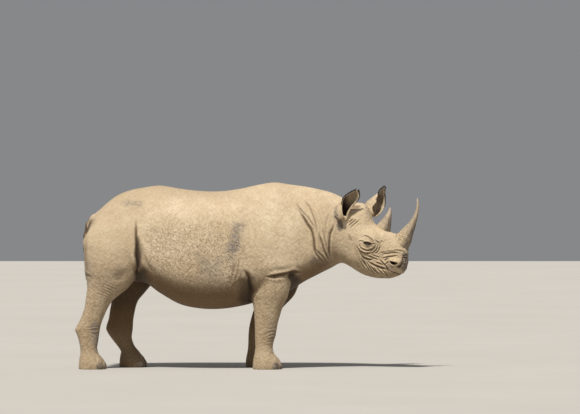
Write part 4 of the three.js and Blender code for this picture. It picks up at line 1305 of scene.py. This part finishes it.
def hide_material():
    m = Shader("hide")
    fold = m.mark("fold")
    worn = m.mark("worn")
    dark = m.mark("dark")
    pebbled = m.mark("pebbled")
    shade_and_less_dust_share = m.mark("shade_and_less_dust")
    place = m.place()
    length = m.node("SeparateXYZ", {0: place}).outputs[0]
    height = m.node("SeparateXYZ", {0: place}).outputs[2]
    broad = m.noise(2.6, 5.0, 0.6)
    blotch = m.noise(11.0, 6.0, 0.65)
    grain = m.noise(160.0, 3.0, 0.6)
    speckle = m.noise(46.0, 5.0, 0.75)
    lumps = m.noise(34.0, 3.0, 0.5)
    cells = {"Vector": m.place(PEBBLE_SIZE, 0.3), "Scale": 1.0}
    pebble = m.node("TexVoronoi", cells, feature="SMOOTH_F1").outputs["Distance"]
    stipple = m.noise(1.0, 3.0, 0.6, m.place(STIPPLE_SIZE, 0.25), 0.3)
    lean_a = m.noise(1.0, 2.0, 0.5, m.place(HATCH_SIZE, HATCH_LEAN), 1.0)
    lean_b = m.noise(1.0, 2.0, 0.5, m.place(HATCH_SIZE, -HATCH_LEAN), 1.0)
    hatch = m.math("MULTIPLY", lean_a, lean_b)

    pale = m.mix(m.span(broad, 0.35, 0.68), TAN_DUST, PALE_DUST)
    dusty = m.mix(m.span(blotch, 0.38, 0.66, 0.0, 0.36), pale, BLOTCH)
    legs = m.span(height, 0.85, 0.35, 0.0, 0.66)
    dusty = m.mix(legs, dusty, LEG_TAN)
    dusty = m.mix(m.span(length, -0.6, -1.25, 0.0, 0.5), dusty, RUMP_TAN)
    spine = m.math("MULTIPLY", m.span(height, 1.34, 1.5), m.span(length, 0.15, -0.2))
    dusty = m.mix(m.math("MULTIPLY", spine, 0.6), dusty, SPINE_TAN)
    lines = m.span(hatch, 0.3, 0.16)
    lines = m.math("MULTIPLY", lines, m.span(height, 1.1, 0.6, 0.28, 0.66))
    dusty = m.mix(lines, dusty, LINE_BROWN)
    # Cracks between pebbles darker: less dust and painted shade in the crevices.
    cracks = m.math("MULTIPLY", pebbled, m.span(pebble, 0.38, 0.62), True)
    dusty = m.mix(m.math("MULTIPLY", cracks, 0.45), dusty, CRACK_BROWN)
    strokes = m.math("MULTIPLY", pebbled, m.span(stipple, 0.5, 0.36), True)
    dusty = m.mix(m.math("MULTIPLY", strokes, 0.36), dusty, STROKE_BROWN)
    spotted = m.math("MULTIPLY", worn, m.span(speckle, 0.36, 0.56), True)
    bare = m.mix(m.span(grain, 0.3, 0.7), BARE_DARK, BARE_GREY)
    colour = m.mix(spotted, dusty, bare)
    # Painted shade with less dust on undersides, insides and enclosed places, and brown of lip and ear
    # lining.
    colour = m.mix(m.math("MULTIPLY", shade_and_less_dust_share, 0.92, True), colour, SHADE_AND_UNDUSTED_BROWN)
    # Painted shade in folds and wrinkles.
    colour = m.mix(m.math("MULTIPLY", fold, 0.95, True), colour, FOLD_SHADE_BROWN)
    # Near-black painted shade in pits, nostrils, mouth and round the eye, and dark hide.
    colour = m.mix(dark, colour, DARK_HIDE_AND_SHADE_BLACK)
    colour = m.mix(m.span(grain, 0.35, 0.75, 0.0, 0.16), colour, GRAIN_BROWN)

    shaped = m.bump(lumps, 0.5, 0.012)
    shaped = m.bump(hatch, 0.9, 0.011, shaped)
    shaped = m.bump(stipple, m.math("MULTIPLY", pebbled, 0.9), 0.014, shaped)
    shaped = m.bump(pebble, m.span(pebbled, 0.0, 1.0, -0.3, -1.0), 0.014, shaped)
    shaped = m.bump(grain, 0.3, 0.0025, shaped)
    return m.finish(
        Base_Color=colour,
        Roughness=m.span(dark, 0.0, 1.0, 0.88, 0.66),
        Normal=shaped,
        Specular_IOR_Level=0.22,
        Sheen_Weight=0.06,
        Sheen_Roughness=0.5,
    )


def horn_material():
    m = Shader("horn")
    share = m.mark("share")
    front = m.mark("front")
    fibre = m.noise(1.0, 5.0, 0.6, m.place((150, 150, 12)), 0.3)
    grain = m.noise(72.0, 5.0, 0.75)
    base = m.mix(m.span(grain, 0.4, 0.6), rgb(0.25, 0.18, 0.11), rgb(0.62, 0.49, 0.31))
    shaft = m.mix(m.span(fibre, 0.35, 0.65), rgb(0.24, 0.18, 0.12), rgb(0.46, 0.37, 0.26))
    colour = m.mix(m.span(share, 0.12, 0.42), base, shaft)
    colour = m.mix(m.span(share, 0.6, 1.0, 0.0, 0.75), colour, rgb(0.52, 0.42, 0.3))
    colour = m.mix(m.math("MULTIPLY", front, 0.85, True), colour, rgb(0.07, 0.055, 0.045))
    shaped = m.bump(fibre, 0.5, 0.004)
    shaped = m.bump(grain, 0.4, 0.003, shaped)
    return m.finish(Base_Color=colour, Roughness=m.span(share, 0.2, 1.0, 0.78, 0.42), Normal=shaped)


def nail_material():
    m = Shader("nail")
    rings = m.noise(1.0, 3.0, 0.5, m.place((30, 30, 260)), 0.2)
    stain = m.noise(26.0, 4.0, 0.6)
    colour = m.mix(m.span(stain, 0.3, 0.7), rgb(0.1, 0.08, 0.062), rgb(0.26, 0.2, 0.14))
    shaped = m.bump(rings, 0.5, 0.002)
    return m.finish(Base_Color=colour, Roughness=0.62, Normal=shaped)


def eye_material():
    m = Shader("eye")
    away = m.mark("away")
    fibres = m.noise(420.0, 3.0, 0.6)
    iris = m.mix(m.span(fibres, 0.3, 0.7), rgb(0.018, 0.009, 0.005), rgb(0.05, 0.024, 0.011))
    colour = m.mix(m.span(away, 0.3, 0.36), rgb(0.003, 0.002, 0.002), iris)
    colour = m.mix(m.span(away, 0.56, 0.66), colour, rgb(0.07, 0.045, 0.035))
    return m.finish(
        Base_Color=colour,
        Roughness=m.span(fibres, 0.0, 1.0, 0.07, 0.16),
        Coat_Weight=0.9,
        Coat_Roughness=0.03,
    )


def hair_material():
    m = Shader("hair")
    tone = m.noise(60.0, 3.0, 0.6)
    colour = m.mix(m.span(tone, 0.3, 0.7), rgb(0.012, 0.009, 0.008), rgb(0.045, 0.033, 0.026))
    return m.finish(Base_Color=colour, Roughness=m.span(tone, 0.2, 0.8, 0.5, 0.7))


def floor_material():
    m = Shader("floor")
    tone = m.noise(0.6, 3.0, 0.5)
    colour = m.mix(m.span(tone, 0.2, 0.8), rgb(0.455, 0.435, 0.405), rgb(0.48, 0.46, 0.43))
    return m.finish(Base_Color=colour, Roughness=0.9)


# ---------------------------------------------------------------- separate pieces
def new_piece(name, points, faces, material, nodes, marks=None):
    mesh = bpy.data.meshes.new(name)
    mesh.from_pydata((np.asarray(points) * MM).tolist(), [], faces)
    mesh.update()
    mesh.shade_smooth()
    for key, values in (marks or {}).items():
        store(mesh, key, np.asarray(values))
    mesh.materials.append(material)
    piece = bpy.data.objects.new(name, mesh)
    bpy.context.collection.objects.link(piece)
    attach(piece, "root")
    if nodes:
        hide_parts(*nodes)
    return piece


def ring_faces(rings, sides):
    """Quads between rings of points, with a fan to the one point after the last ring."""
    faces = []
    for i in range(rings - 1):
        for j in range(sides):
            k = (j + 1) % sides
            faces.append((i * sides + j, i * sides + k, (i + 1) * sides + k, (i + 1) * sides + j))
    end = rings * sides
    for j in range(sides):
        faces.append(((rings - 1) * sides + j, (rings - 1) * sides + (j + 1) % sides, end))
    faces.append(tuple(range(sides))[::-1])
    return faces


def make_horn(name, table, material, node):
    """Horn through its stations, rough and ringed toward its base."""
    rows = dense_rows([(up, ahead, length, width) for ahead, up, length, width in table])
    sides = 72
    rings = 120
    ups = rows[0, 0] + (rows[-1, 0] - rows[0, 0]) * np.linspace(0, 1, rings) ** 0.9
    ahead, length, width = look_up(rows, ups)
    lean = np.arctan2(np.gradient(ahead), np.gradient(ups))
    share = np.linspace(0, 1, rings)
    angle = np.linspace(0, 2 * np.pi, sides, endpoint=False)
    cos = np.cos(angle)[None, :]
    sin = np.sin(angle)[None, :]
    ring_place = np.stack(np.broadcast_arrays(40 * cos, 40 * sin, 0.16 * ups[:, None]), -1).reshape(-1, 3)
    fibre = noise(ring_place, 5).reshape(rings, sides)
    knots = noise(ring_place * (1, 1, 6) + 50, 9).reshape(rings, sides)
    taper = (1 - share)[:, None]
    rough = (3.2 * fibre + 2.2 * knots) * (1 - smooth(share * 2.2))[:, None] + 0.6 * fibre * taper
    growth = 0.7 * np.sin(ups / 9 + 2 * np.sin(ups / 37))[:, None] * taper
    along = cos * (length[:, None] + rough + growth)
    across = sin * (width[:, None] + rough + growth)
    points = []
    for i in range(rings):
        for j in range(sides):
            forward = ahead[i] + along[i, j] * np.cos(lean[i])
            points.append(head_point(forward, ups[i] - along[i, j] * np.sin(lean[i]), across[i, j]))
    points.append(head_point(ahead[-1], ups[-1] + 1.5))
    front = smooth((np.broadcast_to(cos, (rings, sides)) - 0.12 - 0.3 * share[:, None]) / 0.45)
    front = front * (0.75 + 0.25 * fibre) * (1 - 0.5 * ramp(share, 0.4, 0.8))[:, None]
    marks = {
        "share": np.append(np.repeat(share, sides), 1.0),
        "front": np.append(front.ravel(), 0.4),
    }
    return new_piece(name, points, ring_faces(rings, sides), material, [node], marks)


def make_eye(name, side, material):
    """Eyeball turned to look outward and a little forward, with a slightly raised cornea."""
    look = unit(HEAD_AXES @ np.array([0.32, -side * 1.0, 0.02]))
    centre = head_point(EYE[0], EYE[1], EYE[2] * side)
    across = unit(np.cross(look, (0, 0, 1)))
    lifted = np.cross(across, look)
    rings = 40
    sides = 48
    away = np.linspace(0.02, np.pi - 0.02, rings)
    points = []
    for a in away[::-1]:
        r = EYE_RADIUS + CORNEA * float(ramp(a, 0.62, 0.32))
        for b in np.linspace(0, 2 * np.pi, sides, endpoint=False):
            aside = math.cos(b) * across + math.sin(b) * lifted
            points.append(centre + r * (math.cos(a) * look + math.sin(a) * aside))
    points.append(centre + (EYE_RADIUS + CORNEA) * look)
    marks = {"away": np.append(np.repeat(away[::-1], sides), 0.0)}
    nodes = ["eye_" + name]
    return new_piece("eyeball_" + name, points, ring_faces(rings, sides), material, nodes, marks)


def make_nails(leg, material):
    """Three blunt hooves round the front of a foot."""
    rows, side = LEG_ROWS[leg]
    x, length, y, width = look_up(rows, np.array([FOOT_LEVEL]))[:, 0]
    rings = 22
    sides = 36
    points = []
    faces = []
    for turned, half in zip(NAIL_TURNS, NAIL_WIDTHS):
        c, s = math.cos(turned), math.sin(turned)
        seat_x = x + c * (length - NAIL_SEAT)
        seat_y = y * side + s * (width - NAIL_SEAT)
        start = len(points)
        for a in np.linspace(0.04, np.pi - 0.04, rings):
            for b in np.linspace(0, 2 * np.pi, sides, endpoint=False):
                d = np.array([math.cos(a), math.sin(a) * math.cos(b), math.sin(a) * math.sin(b)])
                d = np.sign(d) * np.abs(d) ** 0.8
                q = d * (NAIL_THICKNESS, half * (1 - 0.16 * d[2]), NAIL_HEIGHT)
                q[0] += 1.2 * math.sin(q[2] / 2.1) * (abs(d[0]) > 0.2) - 0.22 * q[2]
                level = max(NAIL_LEVEL + q[2], 2)
                points.append((seat_x + c * q[0] - s * q[1], seat_y + s * q[0] + c * q[1], level))
        points.append(points[-1])
        faces += [tuple(start + k for k in f) for f in ring_faces(rings, sides)]
    nodes = [f"{leg}_nail_{k}" for k in (1, 2, 3)]
    return new_piece(leg + "_nails", points, faces, material, nodes)


def strands(roots, ways, lengths, radii, droop, bend, patch):
    """Tapered hairs: points, faces and a patch of the unwrap for each."""
    steps = 5
    sides = 3
    points = []
    faces = []
    places = []
    for root, way, length, radius, curl, (u, v) in zip(roots, ways, lengths, radii, bend, patch):
        way = unit(way)
        across = unit(np.cross(way, (0.31, 0.11, 0.94)))
        lifted = np.cross(way, across)
        start = len(points)
        for i in range(steps):
            t = i / (steps - 1)
            centre = root + length * (t * way + t * t * (droop * np.array([0, 0, -1.0]) + curl))
            r = radius * (1 - 0.82 * t)
            for j in range(sides):
                b = 2 * math.pi * j / sides
                points.append(centre + r * (math.cos(b) * across + math.sin(b) * lifted))
                places.append((u + 0.0024 * t, v + 0.0024 * j / sides))
        tube = ring_faces(steps, sides)[: (steps - 1) * sides]
        faces += [tuple(start + k for k in f) for f in tube]
        faces.append((start + 2, start + 1, start))
        end = start + (steps - 1) * sides
        faces.append((end, end + 1, end + 2))
    return points, faces, places


def hair_piece(name, made, material, nodes=()):
    """A piece of hairs, with their unwrap."""
    points, faces, places = made
    piece = new_piece(name, points, faces, material, list(nodes))
    layer = piece.data.uv_layers.new(name="OFBake")
    order = np.empty(len(piece.data.loops), np.int64)
    piece.data.loops.foreach_get("vertex_index", order)
    layer.data.foreach_set("uv", np.array(places)[order].ravel())
    return piece


def ear_fringe(name, ear, material, seed):
    """Short dark hairs along the rim of an ear."""
    random = np.random.default_rng(seed)
    (seat, along, opening, across), rows, _, top = ear
    count = 2300
    roots, ways, lengths, patch = [], [], [], []
    for _ in range(count):
        u = 1 - 0.56 * random.uniform() ** 1.3
        edge = random.choice((-1, 1))
        aside, toward, width, depth, turn, gap = look_up(rows, np.array([u * top]))[:, 0]
        inward = abs(random.normal(0, 5)) + 1
        angle = math.radians(turn + edge * (gap + inward))
        sin, cos = math.sin(angle), math.cos(angle)
        root = seat + along * u * top + across * (aside + width * sin) + opening * (toward + depth * cos)
        outward = unit(across * sin / width + opening * cos / depth)
        tangent = edge * (opening * depth * sin - across * width * cos)
        way = 0.75 * outward + 0.5 * unit(tangent) + along * (0.15 + 1.0 * u**4)
        roots.append(root)
        ways.append(way + 0.22 * random.normal(size=3))
        lengths.append(random.uniform(9, 16) * (0.55 + 0.6 * u))
        patch.append((0.1 + 0.3 * u + (0.45 if edge > 0 else 0), 0.1 + 0.8 * random.uniform()))
    bend = 0.18 * random.normal(size=(count, 3))
    radii = random.uniform(0.5, 0.95, count)
    return hair_piece(name, strands(roots, ways, lengths, radii, 0.1, bend, patch), material)


def tail_tuft(material):
    """Stiff hairs in two rows down the end of the tail."""
    random = np.random.default_rng(5)
    count = 900
    line = np.array([TAIL[-1][:3], TAIL_TIP], float)
    roots, ways, lengths, patch = [], [], [], []
    for _ in range(count):
        t = random.uniform(-0.2, 0.7)
        angle = random.normal(0, 0.55) + (0 if random.uniform() < 0.5 else math.pi)
        centre = line[0] + (line[1] - line[0]) * t
        outward = np.array([math.cos(angle), math.sin(angle), 0])
        roots.append(centre + outward * (14 - 8 * max(t, 0)))
        ways.append(0.12 * outward + np.array([0.12, 0.03, -1]) + 0.05 * random.normal(size=3))
        lengths.append(random.uniform(50, 75) * (1 - 0.3 * t))
        patch.append(((angle / (2 * math.pi)) % 1 * 0.99, 0.05 + 0.9 * t))
    bend = 0.06 * random.normal(size=(count, 3))
    radii = random.uniform(0.7, 1.3, count)
    made = strands(roots, ways, lengths, radii, 0.0, bend, patch)
    return hair_piece("tail_hair", made, material, ["tail_tuft"])


def lashes(name, side, material, seed):
    """Lashes along both lids of an eye, longer on the upper one."""
    random = np.random.default_rng(seed)
    count = 90
    slit = np.array([SLIT[0], 0, SLIT[1]])
    normal = np.array([-SLIT[1], 0, SLIT[0]])
    roots, ways, lengths, patch = [], [], [], []
    for _ in range(count):
        t = random.uniform(-22, 24)
        upper = random.uniform() < 0.7
        n = (SLIT_FALL if upper else -SLIT_FALL) * (1 - (t / SLIT_HALF) ** 2)
        depth = math.sqrt(max(1, (EYE_RADIUS + 4) ** 2 - t * t - n * n))
        place = np.array([EYE[0], 0, EYE[1]]) + slit * t + normal * n
        roots.append(head_point(place[0], place[2], (EYE[2] + depth) * side))
        way = slit * (0.25 * t / 24) + normal * (0.35 if upper else -0.3) + random.normal(size=3) * 0.1
        ways.append(HEAD_AXES @ np.array([way[0], -side * 1.0, way[2]]))
        lengths.append(random.uniform(8, 15) if upper else random.uniform(5, 8))
        patch.append((0.3 + 0.008 * t, 0.6 if upper else 0.4))
    bend = 0.1 * random.normal(size=(count, 3)) + (0, 0, -0.25)
    radii = np.full(count, 0.4)
    return hair_piece(name, strands(roots, ways, lengths, radii, 0.0, bend, patch), material)


skin = make_skin()
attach(skin, "root")
flesh = ["trunk", "neck", "head", "lower_jaw", "ear_right", "ear_left", "tail"]
flesh += [leg + part for leg in LEGS for part in ("_leg", "_foot")]
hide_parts(*flesh)
skin.data.materials.append(hide_material())

horn = horn_material()
make_horn("front_horn_detail", FRONT_HORN, horn, "front_horn")
make_horn("rear_horn_detail", REAR_HORN, horn, "rear_horn")
eye = eye_material()
make_eye("right", 1, eye)
make_eye("left", -1, eye)
nail = nail_material()
for leg in LEGS:
    make_nails(leg, nail)
hair = hair_material()
ear_fringe("ear_right_fringe", EARS[0], hair, 11)
ear_fringe("ear_left_fringe", EARS[1], hair, 12)
lashes("lashes_right", 1, hair, 21)
lashes("lashes_left", -1, hair, 22)
tail_tuft(hair)


# ---------------------------------------------------------------- floor, light and camera
FLOOR_REACH = 40
# Way to the sun, its strength, and its width in degrees.
SUN_WAY = (-0.18, -0.48, 0.86)
SUN_STRENGTH = 4.4
SUN_WIDTH = 5
SUN_COLOUR = (1.0, 0.965, 0.9)
SKY_COLOUR = (0.9, 0.91, 0.94, 1)
SKY_STRENGTH = 0.27
# Where the camera stands and what it looks at, in metres, and its lens and sensor in millimetres.
CAMERA = (0.357, -38, 1.75)
CAMERA_AIM = (0.357, 0, 1.352)
LENS = 281
SENSOR = 36


def make_floor():
    mesh = bpy.data.meshes.new("floor")
    corners = [(x * FLOOR_REACH, y * FLOOR_REACH, 0) for x, y in ((-1, -1), (1, -1), (1, 1), (-1, 1))]
    mesh.from_pydata(corners, [], [(0, 1, 2, 3)])
    mesh.materials.append(floor_material())
    floor = bpy.data.objects.new("floor", mesh)
    bpy.context.collection.objects.link(floor)


def sun_light(name, way, strength, angle, colour):
    lamp = bpy.data.lights.new(name, "SUN")
    lamp.energy = strength
    lamp.angle = math.radians(angle)
    lamp.color = colour
    made = bpy.data.objects.new(name, lamp)
    made.rotation_euler = (-Vector(way)).to_track_quat("-Z", "Y").to_euler()
    bpy.context.collection.objects.link(made)


def soft_world():
    world = bpy.data.worlds.new("studio")
    bpy.context.scene.world = world
    world.use_nodes = True
    back = world.node_tree.nodes["Background"]
    back.inputs["Color"].default_value = SKY_COLOUR
    back.inputs["Strength"].default_value = SKY_STRENGTH


def make_camera():
    lens = bpy.data.cameras.new("camera")
    lens.sensor_width = SENSOR
    lens.lens = LENS
    view = bpy.data.objects.new("camera", lens)
    view.location = CAMERA
    view.rotation_euler = (Vector(CAMERA_AIM) - view.location).to_track_quat("-Z", "Y").to_euler()
    bpy.context.collection.objects.link(view)
    bpy.context.scene.camera = view


make_floor()
sun_light("key", SUN_WAY, SUN_STRENGTH, SUN_WIDTH, SUN_COLOUR)
soft_world()
bpy.context.scene.view_settings.view_transform = "Standard"
make_camera()
